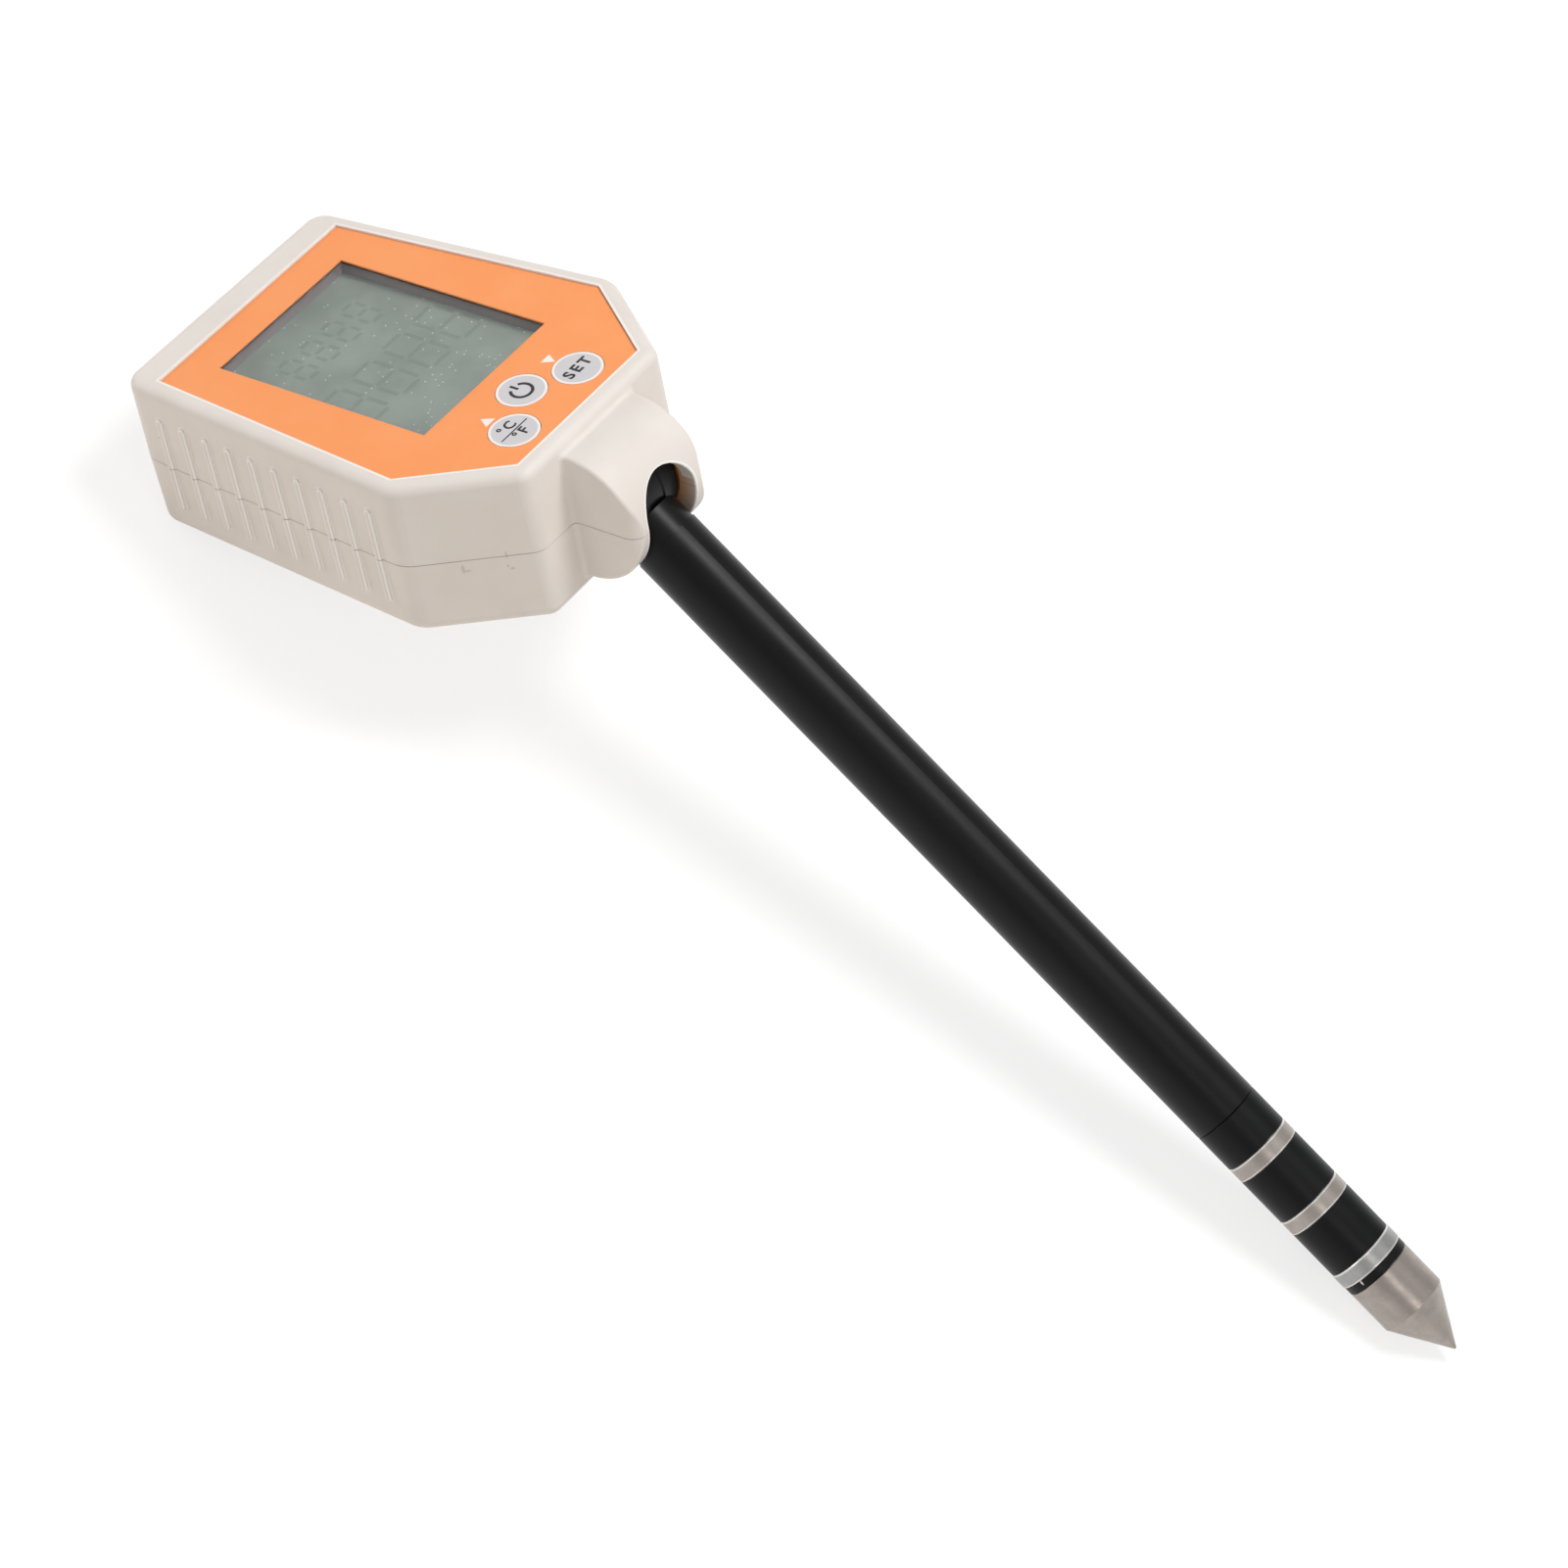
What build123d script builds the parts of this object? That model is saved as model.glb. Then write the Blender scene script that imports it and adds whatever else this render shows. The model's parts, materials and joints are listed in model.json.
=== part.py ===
from build123d import *
from math import acos, atan2, cos, hypot, radians, sin, sqrt, tan
import os

# Head, in its own frame: x runs from the far wall to the hinge, y across, z out of the face.
# Its zero is the middle of the label's far edge, on the label's top. The outline is that of
# the parting plane, from which both shells draw in. CUT_OVER is how far a cutting shape runs
# past what it cuts.
HEAD_WIDE_X = 53.2
HEAD_END_X = 71.9
HEAD_FAR_HALF = 25.8
HEAD_WIDE_HALF = 30.75
HEAD_END_HALF = 17.65
FAR_CORNER_R = 3.8
WIDE_CORNER_R = 6.4
END_CORNER_R = 3.2
RIM_Z = 0.4
PARTING_Z = -15.2
BACK_Z = -29.35
WALL = 2.2
FACE_WALL = 2.0
FRONT_DRAFT = 0.2
REAR_DRAFT = 1.35
FACE_EDGE_R = 1.8
BACK_EDGE_R = 2.5
LIP_T = 0.9
LIP_H = 1.2
LIP_GAP = 0.1
CUT_OVER = 4.0

# Grip ribs on both long sides
RIB_COUNT = 10
RIB_PITCH = 5.26
RIB_FIRST_X = 0.88
RIB_TOP_Z = -5.0
RIB_FOOT_Z = -24.0
RIB_WIDTH = 1.6
RIB_RISE = 0.55

# Label, window and display
LABEL_MARGIN = 3.1
LABEL_FAR_MARGIN = 6.4
LABEL_T = 0.3
LABEL_GAP = 0.1
WINDOW_X = 28.3
WINDOW_L = 43.2
WINDOW_W = 32.2
LENS_T = 0.8
LENS_LAP = 2.0
GASKET_WALL = 0.9
GASKET_GAP = 0.1
DISPLAY_DEPTH = 3.0
LCD_L = 46.6
LCD_W = 37.4
LCD_T = 2.8
ZEBRA_L = 42.0
ZEBRA_W = 2.0
ZEBRA_H = 2.0
ZEBRA_Y = 17.4

# Circuit board
BOARD_T = 1.6
BOARD_GAP = 0.8
BOARD_FAR_X = 3.8
BOARD_SCREWS = ((8.0, 21.0), (48.0, 24.0))
BOARD_PILLAR_R = 2.0
BOARD_SCREW_R = 0.8
BOARD_HOLE_GAP = 0.2
BOARD_SCREW_L = 5.6
BOARD_SCREW_HEAD_R = 1.9
BOARD_SCREW_HEAD_H = 1.3
CHIPS = ((30.0, 0.0, 8.0, 8.0, 1.3), (16.0, 8.0, 5.0, 4.0, 1.5), (17.0, -8.0, 7.0, 3.4, 2.4))

# Keys: x, y and name of each
KEYS = ((57.4, 0.0, "power"), (62.3, 8.6, "set"), (62.7, -8.9, "unit"))
KEY_R = 4.25
KEY_GAP = 0.12
KEY_FLANGE = 0.6
KEY_FLANGE_T = 0.8
KEY_TRAVEL = 0.35
KEY_SEAT_GAP = 0.05
STEM_R = 1.7
STEM_DEPTH = 0.6
SWITCH_SIDE = 5.2
SWITCH_H = 3.4
SWITCH_PLUNGER_R = 1.5
SWITCH_SOCKET = 1.2

# Hinge barrel and slot
PIVOT_X = 72.6
PIVOT_Z = -14.15
BARREL_R = 12.15
CHEEK_T = 3.1
BARREL_WALL = 2.6
BARREL_EDGE_R = 0.6
BARREL_NOSE_R = 3.2
BARREL_NOSE_OVER = 0.4
BARREL_ROOT_R = 1.0
SLOT_EDGE_R = 0.3
SEAM_EDGE = 0.12
SLOT_GAP = 0.3
FOLD_LIMIT = 60.0
TRUNNION_R = 2.5
TRUNNION_DEPTH = 1.3
PIVOT_GAP = 0.05

# Hinge knuckle and washers
KNUCKLE_R = 8.9
KNUCKLE_BEVEL_Y = 2.4
KNUCKLE_BEVEL_R = 1.2
WASHER_R = 7.2
WASHER_T = 1.4
NECK_STEP = 0.17
NECK_GAP = 0.3
SPIGOT_L = 15.0
LEAD_HOLE_R = 1.5
LEAD_WINDOW = 1.7

# Probe; s runs from the hinge axis to the point
BEND = 42.16
PROBE_L = 195.0
PROBE_R = 6.0
TUBE_GAP = 0.3
TUBE_WALL = 1.0
SPIGOT_GAP = 0.05
SLEEVE_L = 7.2
SLEEVE_SPIGOT_L = 10.0
RING_L = 2.85
RING_PITCH = 12.0
LAST_RING_EXTRA_R = 0.1
LAST_SPACER_L = 1.55
TIP_BARREL_L = 8.05
TIP_CONE_ANGLE = 60.0
TIP_NOSE_R = 0.3
CORE_R = 3.5
CORE_GAP = 0.05
CORE_IN_TIP = 6.0
CORE_IN_SLEEVE = 5.0
EDGE_BREAK = 0.15
SENSOR_R = 1.2
SENSOR_L = 4.0
SENSOR_EDGE = 0.5
LEAD_R = 1.1
LEAD_JOINT_GAP = 0.1

# Case screws and their pillars
CASE_SCREWS = ((-0.2, 20.0), (58.6, 19.2))
FRONT_PILLAR_R = 3.0
REAR_PILLAR_R = 3.4
SCREW_R = 1.15
SCREW_GAP = 0.05
SCREW_CLEAR_R = 1.5
SCREW_HEAD_R = 2.5
SCREW_HEAD_H = 1.8
SCREW_HEAD_EDGE = 0.5
SCREW_L = 12.0
PILOT_EXTRA = 0.4
COUNTERBORE_R = 2.8
COUNTERBORE_DEPTH = 7.0
CROSS_L = 2.6
CROSS_W = 0.6
CROSS_DEPTH = 0.8

# Battery bay, in the back shell
CELL_R = 5.25
CELL_L = 44.5
CELL_NUB_R = 1.9
CELL_NUB_L = 0.8
CELL_SPACING = 0.7
CELL_GAP = 0.3
BAY_NEAR_X = 51.5
BAY_WALL = 1.5
PLATE_T = 0.4
PLATE_W = 9.0
PLATE_H = 9.0
PLATE_TAB_W = 3.0
PLATE_TAB_RISE = 1.2
TAB_SLOT_GAP = 0.2
SPRING_L = 5.7
SPRING_W = 4.0
SPRING_T = 0.3
SPRING_FOOT = 3.0
SPRING_BEND_R = 1.2
SPRING_GAP = 0.1
BATTERY_WIRE_R = 0.5

# Battery door, flush with the back
DOOR_T = 1.6
DOOR_LAP = 1.3
DOOR_GAP = 0.25
DOOR_CORNER_R = 1.5
DOOR_TAB_W = 4.0
DOOR_TAB_Y = 8.5
DOOR_TAB_T = 1.0
DOOR_TAB_REACH = 1.6
DOOR_TAB_ROOT = 0.9
DOOR_TAB_SWING = 0.75
DOOR_NOTCH_R = 5.0
DOOR_NOTCH_DEPTH = 0.8
DOOR_GROOVES = 4
DOOR_GROOVE_PITCH = 2.0

# Lead plug on the board
PLUG_X = 54.0
PLUG_Y = -11.0
PLUG_L = 5.0
PLUG_W = 7.5
PLUG_H = 3.4
LEAD_STEP = 0.9
LEAD_RUN = 3.5
LEAD_BEND_R = 1.6

# Derived levels and places in the head
FAR_X = -LABEL_FAR_MARGIN
FACE_IN_Z = -LABEL_T - FACE_WALL
LENS_FOOT_Z = -LABEL_T - LENS_T
LCD_TOP_Z = -DISPLAY_DEPTH
LCD_FOOT_Z = LCD_TOP_Z - LCD_T
BOARD_TOP_Z = LCD_FOOT_Z - ZEBRA_H
BOARD_FOOT_Z = BOARD_TOP_Z - BOARD_T
BOARD_END_X = PIVOT_X - sqrt((WASHER_R + BOARD_GAP / 2) ** 2 - (PIVOT_Z - BOARD_FOOT_Z) ** 2)
BACK_IN_Z = BACK_Z + WALL
CAVITY_R = BARREL_R - BARREL_WALL
SLOT_HALF = PROBE_R + SLOT_GAP
BARREL_HALF = SLOT_HALF + CHEEK_T
KNUCKLE_HALF = SLOT_HALF - WASHER_T - 2 * PIVOT_GAP
NECK_START = WASHER_R + NECK_GAP
TUBE_START = BARREL_R + TUBE_GAP
SLOT_REACH = BARREL_R + CUT_OVER
DOOR_IN_Z = BACK_Z + DOOR_T
CELL_Y = CELL_R + CELL_SPACING / 2
CELL_Z = DOOR_IN_Z + CELL_GAP + CELL_R
BAY_TOP_Z = CELL_Z + CELL_R + CELL_GAP
BAY_HALF = CELL_Y + CELL_R + DOOR_GAP
BAY_LENGTH = CELL_L + SPRING_L + 2 * PLATE_T
BAY_FAR_X = BAY_NEAR_X - BAY_LENGTH
DOOR_HALF = BAY_HALF + DOOR_LAP
DOOR_FAR_X = BAY_FAR_X - DOOR_LAP
DOOR_NEAR_X = BAY_NEAR_X + DOOR_LAP

# Places along the probe
TIP_CONE_L = PROBE_R / tan(radians(TIP_CONE_ANGLE / 2))
NOSE_SHORT = TIP_NOSE_R / sin(radians(TIP_CONE_ANGLE / 2)) - TIP_NOSE_R
TIP_SHOULDER = PROBE_L + NOSE_SHORT - TIP_CONE_L
TIP_START = TIP_SHOULDER - TIP_BARREL_L
RING_3_START = TIP_START - LAST_SPACER_L - RING_L
RING_2_START = RING_3_START - RING_PITCH
RING_1_START = RING_2_START - RING_PITCH
SLEEVE_START = RING_1_START - SLEEVE_L
TUBE_BORE_R = PROBE_R - TUBE_WALL
SPIGOT_R = TUBE_BORE_R - SPIGOT_GAP

# How it stands, with the probe bent: on the rounded far edge of the back and on the edge between
# the tip's barrel and its cone. Both touch one floor line, whose normal is found in the head's
# own frame.
rear_draft = radians(REAR_DRAFT)
far_back_x = FAR_X + (PARTING_Z - BACK_Z) * tan(rear_draft)
heel_x = far_back_x + BACK_EDGE_R * (1 - sin(rear_draft)) / cos(rear_draft)
heel_z = BACK_Z + BACK_EDGE_R
front_draft = radians(FRONT_DRAFT)
far_face_x = FAR_X + (RIM_Z - PARTING_Z) * tan(front_draft)
brow_x = far_face_x + FACE_EDGE_R * (1 - sin(front_draft)) / cos(front_draft)
brow_z = RIM_Z - FACE_EDGE_R
bend = radians(BEND)
shoulder_x = PIVOT_X + TIP_SHOULDER * cos(bend) - PROBE_R * sin(bend)
shoulder_z = PIVOT_Z - TIP_SHOULDER * sin(bend) - PROBE_R * cos(bend)
span = hypot(shoulder_x - heel_x, shoulder_z - heel_z)
normal_angle = atan2(shoulder_z - heel_z, shoulder_x - heel_x) + acos(-BACK_EDGE_R / span)
nose_x = PIVOT_X + (PROBE_L - TIP_NOSE_R) * cos(bend)
nose_z = PIVOT_Z - (PROBE_L - TIP_NOSE_R) * sin(bend)
up_x = cos(normal_angle)
up_z = sin(normal_angle)
floor_level = heel_x * up_x + heel_z * up_z - BACK_EDGE_R
rear_end = brow_x * up_z - brow_z * up_x - FACE_EDGE_R
front_end = nose_x * up_z - nose_z * up_x + TIP_NOSE_R
middle = (rear_end + front_end) / 2

HEAD = Plane(origin=(-middle, 0, -floor_level), x_dir=(up_z, 0, up_x), z_dir=(-up_x, 0, up_z))
SIDE = Plane(origin=HEAD.origin, x_dir=HEAD.x_dir, z_dir=(0, -1, 0))
UP = Axis(HEAD.origin, HEAD.z_dir)
ALONG = Axis(HEAD.origin, HEAD.x_dir)


def in_head(x, y, z):
    """A point of the head's frame, as a point of the part."""
    return HEAD.from_local_coords((x, y, z))


def level(z):
    """The plane parallel to the face at height z."""
    return HEAD.offset(z)


def underside(z):
    """The same plane, seen from the back."""
    return Plane(origin=level(z).origin, x_dir=HEAD.x_dir, z_dir=-HEAD.z_dir)


PIVOT = in_head(PIVOT_X, 0, PIVOT_Z)
PROBE_DIR = in_head(cos(bend), 0, -sin(bend)) - HEAD.origin
PROBE_AXIS = Axis(PIVOT, PROBE_DIR)
PROBE_SECTION = Plane(origin=PIVOT, x_dir=PROBE_DIR, z_dir=(0, -1, 0))
HINGE_AXIS = Axis(PIVOT, (0, 1, 0))
HINGE_SECTION = Plane(origin=PIVOT, x_dir=(0, 1, 0), z_dir=PROBE_DIR)

side_slope = (HEAD_WIDE_HALF - HEAD_FAR_HALF) / (HEAD_WIDE_X - FAR_X)
end_slope = (HEAD_WIDE_HALF - HEAD_END_HALF) / (HEAD_END_X - HEAD_WIDE_X)


def head_outline(inset, far_inset, rounded=False):
    """The tapered hexagon, drawn in by inset; rounded corners get that much smaller with it."""
    side_drop = inset * hypot(1, side_slope)
    end_drop = inset * hypot(1, end_slope)
    turn_x = HEAD_WIDE_X + (side_drop - end_drop) / (side_slope + end_slope)
    far = (FAR_X + far_inset, HEAD_FAR_HALF + side_slope * far_inset - side_drop)
    turn = (turn_x, HEAD_WIDE_HALF + side_slope * (turn_x - HEAD_WIDE_X) - side_drop)
    end = (HEAD_END_X - inset, HEAD_END_HALF + end_slope * inset - end_drop)
    half = [end, turn, far]
    with BuildLine() as outline:
        Polyline(*[(x, -y) for x, y in reversed(half)], *half, close=True)
    make_face(outline.edges())
    if rounded:
        fillet(vertices().sort_by(Axis.X)[:2], FAR_CORNER_R - inset)
        fillet(vertices().sort_by(Axis.X)[-2:], END_CORNER_R - inset)
        widest = [vertices().sort_by(Axis.Y)[0], vertices().sort_by(Axis.Y)[-1]]
        fillet(widest, WIDE_CORNER_R - inset)


def side_wall_half(x):
    """Half the head's width at x, on the parting plane."""
    return HEAD_FAR_HALF + side_slope * (x - FAR_X)


def mirrored(points):
    """Each place of a list and its image across the middle plane."""
    return [(x, side * y) for x, y in points for side in (1, -1)]


def rib_places():
    """Where the centre lines of the ribs stand, a little inside both side walls."""
    sink = rib_radius() - RIB_RISE
    places = [RIB_FIRST_X + i * RIB_PITCH for i in range(RIB_COUNT)]
    return mirrored([(x, side_wall_half(x) - sink) for x in places])


def rib_radius():
    """Radius of a rib whose chord on the wall is its width and whose crown is its rise."""
    return ((RIB_WIDTH / 2) ** 2 + RIB_RISE**2) / (2 * RIB_RISE)


def cut_swing():
    """The space in the barrel that the knuckle and the probe sweep between straight and folded."""
    with BuildSketch(SIDE) as swing:
        with Locations((PIVOT_X, PIVOT_Z)):
            Circle(CAVITY_R)
        with BuildLine():
            fold = radians(FOLD_LIMIT)
            reach = SLOT_REACH / cos(fold / 2)
            Polyline(
                (PIVOT_X, PIVOT_Z),
                (PIVOT_X + SLOT_REACH, PIVOT_Z),
                (PIVOT_X + reach * cos(fold / 2), PIVOT_Z - reach * sin(fold / 2)),
                (PIVOT_X + SLOT_REACH * cos(fold), PIVOT_Z - SLOT_REACH * sin(fold)),
                close=True,
            )
        make_face()
    extrude(swing.sketch, amount=SLOT_HALF, both=True, mode=Mode.SUBTRACT)
    for angle in (0, FOLD_LIMIT):
        direction = in_head(cos(radians(angle)), 0, -sin(radians(angle))) - HEAD.origin
        with BuildSketch(Plane(origin=PIVOT, x_dir=(0, 1, 0), z_dir=direction)) as arch:
            Circle(SLOT_HALF)
        extrude(arch.sketch, amount=SLOT_REACH, mode=Mode.SUBTRACT)


def cut_trunnion_seats(open_down):
    """Blind seats for the trunnions in both cheeks, open towards the parting plane if asked."""
    seat_r = TRUNNION_R + PIVOT_GAP
    depth = TRUNNION_DEPTH + PIVOT_GAP
    for side in (1, -1):
        with BuildSketch(SIDE.offset(-side * SLOT_HALF)) as seat:
            with Locations((PIVOT_X, PIVOT_Z)):
                Circle(seat_r)
                if open_down:
                    Rectangle(2 * seat_r, PIVOT_Z - PARTING_Z, align=(Align.CENTER, Align.MAX))
        extrude(seat.sketch, amount=-side * depth, mode=Mode.SUBTRACT)


def half_barrel(kept_side):
    """Half of the hinge barrel, split at the parting plane. Its nose is rounded as seen from above,
    and its rims are rounded where they don't run straight."""
    with BuildPart() as half:
        with BuildSketch(SIDE):
            with Locations((PIVOT_X, PIVOT_Z)):
                Circle(BARREL_R)
        extrude(amount=BARREL_HALF, both=True)
        with BuildSketch(level(PIVOT_Z - BARREL_R)) as seen_from_above:
            length = 2 * (BARREL_R + BARREL_NOSE_OVER)
            with Locations((PIVOT_X, 0)):
                Rectangle(length, 2 * BARREL_HALF)
            nose_corners = seen_from_above.vertices().sort_by(ALONG)[-2:]
            fillet(nose_corners, BARREL_NOSE_R)
        extrude(amount=2 * BARREL_R, mode=Mode.INTERSECT)
        fillet(half.edges().filter_by(GeomType.LINE, reverse=True), BARREL_EDGE_R)
        split(bisect_by=level(PARTING_Z), keep=kept_side)
    return half.part


def root_corners(shell, barrel, joined):
    """The two upright corners between the barrel's cheeks and the end wall."""
    straight = new_edges(shell, barrel, combined=joined).filter_by(GeomType.LINE)
    return straight.filter_by(Axis.Y, reverse=True)


def slot_mouth(housing):
    """The slot's edges on the outside of the barrel."""
    rims = []
    for edge in housing.edges():
        places = [HEAD.to_local_coords(edge @ share) for share in (0, 0.5, 1)]
        on_barrel = all(
            abs(hypot(place.X - PIVOT_X, place.Z - PIVOT_Z) - BARREL_R) < SLOT_GAP / 10
            and abs(place.Y) < SLOT_HALF + SLOT_GAP / 10
            for place in places
        )
        if on_barrel:
            rims.append(edge)
    return rims



def grip_ribs(plane, height):
    """Beads that stand on the parting plane along both sides and taper off at their ends."""
    with BuildPart() as ribs:
        with BuildSketch(plane):
            with Locations(*rib_places()):
                Circle(rib_radius())
        extrude(amount=height)
        ends = ribs.edges().filter_by(GeomType.CIRCLE).group_by(Axis(plane.origin, plane.z_dir))[-1]
        chamfer(ends, RIB_RISE)
    return ribs.part


barrel_above = half_barrel(Keep.TOP)
barrel_below = half_barrel(Keep.BOTTOM)
ribs_above = grip_ribs(level(PARTING_Z), RIB_TOP_Z - PARTING_Z)
ribs_below = grip_ribs(underside(PARTING_Z), PARTING_Z - RIB_FOOT_Z)

with BuildPart() as front_housing:
    with BuildSketch(level(PARTING_Z)):
        head_outline(0, 0, rounded=True)
    extrude(amount=RIM_Z - PARTING_Z, taper=FRONT_DRAFT)
    fillet(front_housing.faces().sort_by(UP)[-1].edges(), FACE_EDGE_R)
    shell_above = front_housing.part
    add(barrel_above)
    fillet(root_corners(shell_above, barrel_above, front_housing.part), BARREL_ROOT_R)
    add(ribs_above)
    chamfer(front_housing.faces().sort_by(UP)[0].outer_wire().edges(), SEAM_EDGE)
    with BuildSketch(level(PARTING_Z)):
        head_outline(WALL, WALL, rounded=True)
    extrude(amount=FACE_IN_Z - PARTING_Z, mode=Mode.SUBTRACT)
    with BuildSketch(level(PARTING_Z)):
        lip_inset = WALL - LIP_T - LIP_GAP
        head_outline(lip_inset, lip_inset, rounded=True)
    extrude(amount=LIP_H + LIP_GAP, mode=Mode.SUBTRACT)
    with BuildSketch(level(PARTING_Z)):
        with Locations(*mirrored(CASE_SCREWS)):
            Circle(FRONT_PILLAR_R)
    extrude(amount=FACE_IN_Z - PARTING_Z)
    with BuildSketch(level(BOARD_TOP_Z)):
        with Locations(*mirrored(BOARD_SCREWS)):
            Circle(BOARD_PILLAR_R)
    extrude(amount=FACE_IN_Z - BOARD_TOP_Z)
    with BuildSketch(level(-LABEL_T)):
        head_outline(LABEL_MARGIN - LABEL_GAP, LABEL_FAR_MARGIN - LABEL_GAP)
    extrude(amount=RIM_Z + LABEL_T, mode=Mode.SUBTRACT)
    with BuildSketch(level(-LABEL_T)):
        with Locations((WINDOW_X, 0)):
            Rectangle(WINDOW_L + 2 * (LENS_LAP + LABEL_GAP), WINDOW_W + 2 * (LENS_LAP + LABEL_GAP))
    extrude(amount=-LENS_T, mode=Mode.SUBTRACT)
    with BuildSketch(level(-LABEL_T)):
        with Locations((WINDOW_X, 0)):
            opening = GASKET_WALL + GASKET_GAP
            Rectangle(WINDOW_L + 2 * opening, WINDOW_W + 2 * opening)
        with Locations(*[(x, y) for x, y, name in KEYS]):
            Circle(KEY_R + KEY_GAP)
    extrude(amount=FACE_IN_Z + LABEL_T, mode=Mode.SUBTRACT)
    cut_swing()
    fillet(slot_mouth(front_housing), SLOT_EDGE_R)
    cut_trunnion_seats(open_down=True)
    case_screw_tip_z = BACK_Z + COUNTERBORE_DEPTH + SCREW_L
    with BuildSketch(level(PARTING_Z)):
        with Locations(*mirrored(CASE_SCREWS)):
            Circle(SCREW_R + SCREW_GAP)
    extrude(amount=case_screw_tip_z + PILOT_EXTRA - PARTING_Z, mode=Mode.SUBTRACT)
    with BuildSketch(level(BOARD_TOP_Z)):
        with Locations(*mirrored(BOARD_SCREWS)):
            Circle(BOARD_SCREW_R + SCREW_GAP)
    extrude(amount=BOARD_SCREW_L - BOARD_T + PILOT_EXTRA, mode=Mode.SUBTRACT)

with BuildPart() as rear_housing:
    with BuildSketch(underside(PARTING_Z)):
        head_outline(0, 0, rounded=True)
    extrude(amount=PARTING_Z - BACK_Z, taper=REAR_DRAFT)
    fillet(rear_housing.faces().sort_by(UP)[0].edges(), BACK_EDGE_R)
    shell_below = rear_housing.part
    add(barrel_below)
    fillet(root_corners(shell_below, barrel_below, rear_housing.part), BARREL_ROOT_R)
    add(ribs_below)
    chamfer(rear_housing.faces().sort_by(UP)[-1].outer_wire().edges(), SEAM_EDGE)
    with BuildSketch(level(PARTING_Z)):
        head_outline(WALL, WALL, rounded=True)
    extrude(amount=BACK_IN_Z - PARTING_Z, mode=Mode.SUBTRACT)
    with BuildSketch(level(PARTING_Z)):
        head_outline(WALL - LIP_T, WALL - LIP_T, rounded=True)
        with BuildSketch(mode=Mode.SUBTRACT):
            head_outline(WALL, WALL, rounded=True)
    extrude(amount=LIP_H)
    with BuildSketch(level(BACK_IN_Z)):
        with Locations(*mirrored(CASE_SCREWS)):
            Circle(REAR_PILLAR_R)
    extrude(amount=PARTING_Z - BACK_IN_Z)
    with BuildSketch(level(BACK_IN_Z)):
        with Locations((BAY_NEAR_X + BAY_WALL, 0)):
            tray_l = BAY_LENGTH + 2 * BAY_WALL
            Rectangle(tray_l, 2 * (BAY_HALF + BAY_WALL), align=(Align.MAX, Align.CENTER))
    extrude(amount=BAY_TOP_Z + BAY_WALL - BACK_IN_Z)
    with BuildSketch(level(BACK_Z)):
        with Locations((BAY_NEAR_X, 0)):
            Rectangle(BAY_LENGTH, 2 * BAY_HALF, align=(Align.MAX, Align.CENTER))
    extrude(amount=BAY_TOP_Z - BACK_Z, mode=Mode.SUBTRACT)
    with BuildSketch(level(BACK_Z)):
        with Locations(((DOOR_FAR_X + DOOR_NEAR_X) / 2, 0)):
            door_l = DOOR_NEAR_X - DOOR_FAR_X + 2 * DOOR_GAP
            RectangleRounded(door_l, 2 * (DOOR_HALF + DOOR_GAP), DOOR_CORNER_R + DOOR_GAP)
    extrude(amount=DOOR_T, mode=Mode.SUBTRACT)
    with BuildSketch(level(DOOR_IN_Z - DOOR_GAP / 2)):
        with Locations(*mirrored([(BAY_NEAR_X, DOOR_TAB_Y)])):
            slot_l = DOOR_LAP + DOOR_TAB_REACH + DOOR_GAP
            Rectangle(slot_l, DOOR_TAB_W + 2 * DOOR_GAP, align=(Align.MIN, Align.CENTER))
    extrude(amount=DOOR_TAB_T + DOOR_TAB_SWING + DOOR_GAP / 2, mode=Mode.SUBTRACT)
    with BuildSketch(level(BAY_TOP_Z)):
        with Locations(*mirrored([(BAY_NEAR_X, CELL_Y)])):
            slot_w = PLATE_TAB_W + TAB_SLOT_GAP
            Rectangle(PLATE_T + TAB_SLOT_GAP, slot_w, align=(Align.MAX, Align.CENTER))
    extrude(amount=BAY_WALL, mode=Mode.SUBTRACT)
    with BuildSketch(level(BACK_Z)):
        with Locations(*mirrored(CASE_SCREWS)):
            Circle(COUNTERBORE_R)
    extrude(amount=COUNTERBORE_DEPTH, mode=Mode.SUBTRACT)
    with BuildSketch(level(BACK_Z)):
        with Locations(*mirrored(CASE_SCREWS)):
            Circle(SCREW_CLEAR_R)
    extrude(amount=PARTING_Z - BACK_Z, mode=Mode.SUBTRACT)
    cut_swing()
    fillet(slot_mouth(rear_housing), SLOT_EDGE_R)
    cut_trunnion_seats(open_down=False)

with BuildPart() as overlay_label:
    with BuildSketch(level(-LABEL_T)):
        head_outline(LABEL_MARGIN, LABEL_FAR_MARGIN)
        with Locations((WINDOW_X, 0)):
            Rectangle(WINDOW_L, WINDOW_W, mode=Mode.SUBTRACT)
        with Locations(*[(x, y) for x, y, name in KEYS]):
            Circle(KEY_R + KEY_GAP, mode=Mode.SUBTRACT)
    extrude(amount=LABEL_T)

with BuildPart() as window_lens:
    with BuildSketch(level(LENS_FOOT_Z)):
        with Locations((WINDOW_X, 0)):
            Rectangle(WINDOW_L + 2 * LENS_LAP, WINDOW_W + 2 * LENS_LAP)
    extrude(amount=LENS_T)

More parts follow.
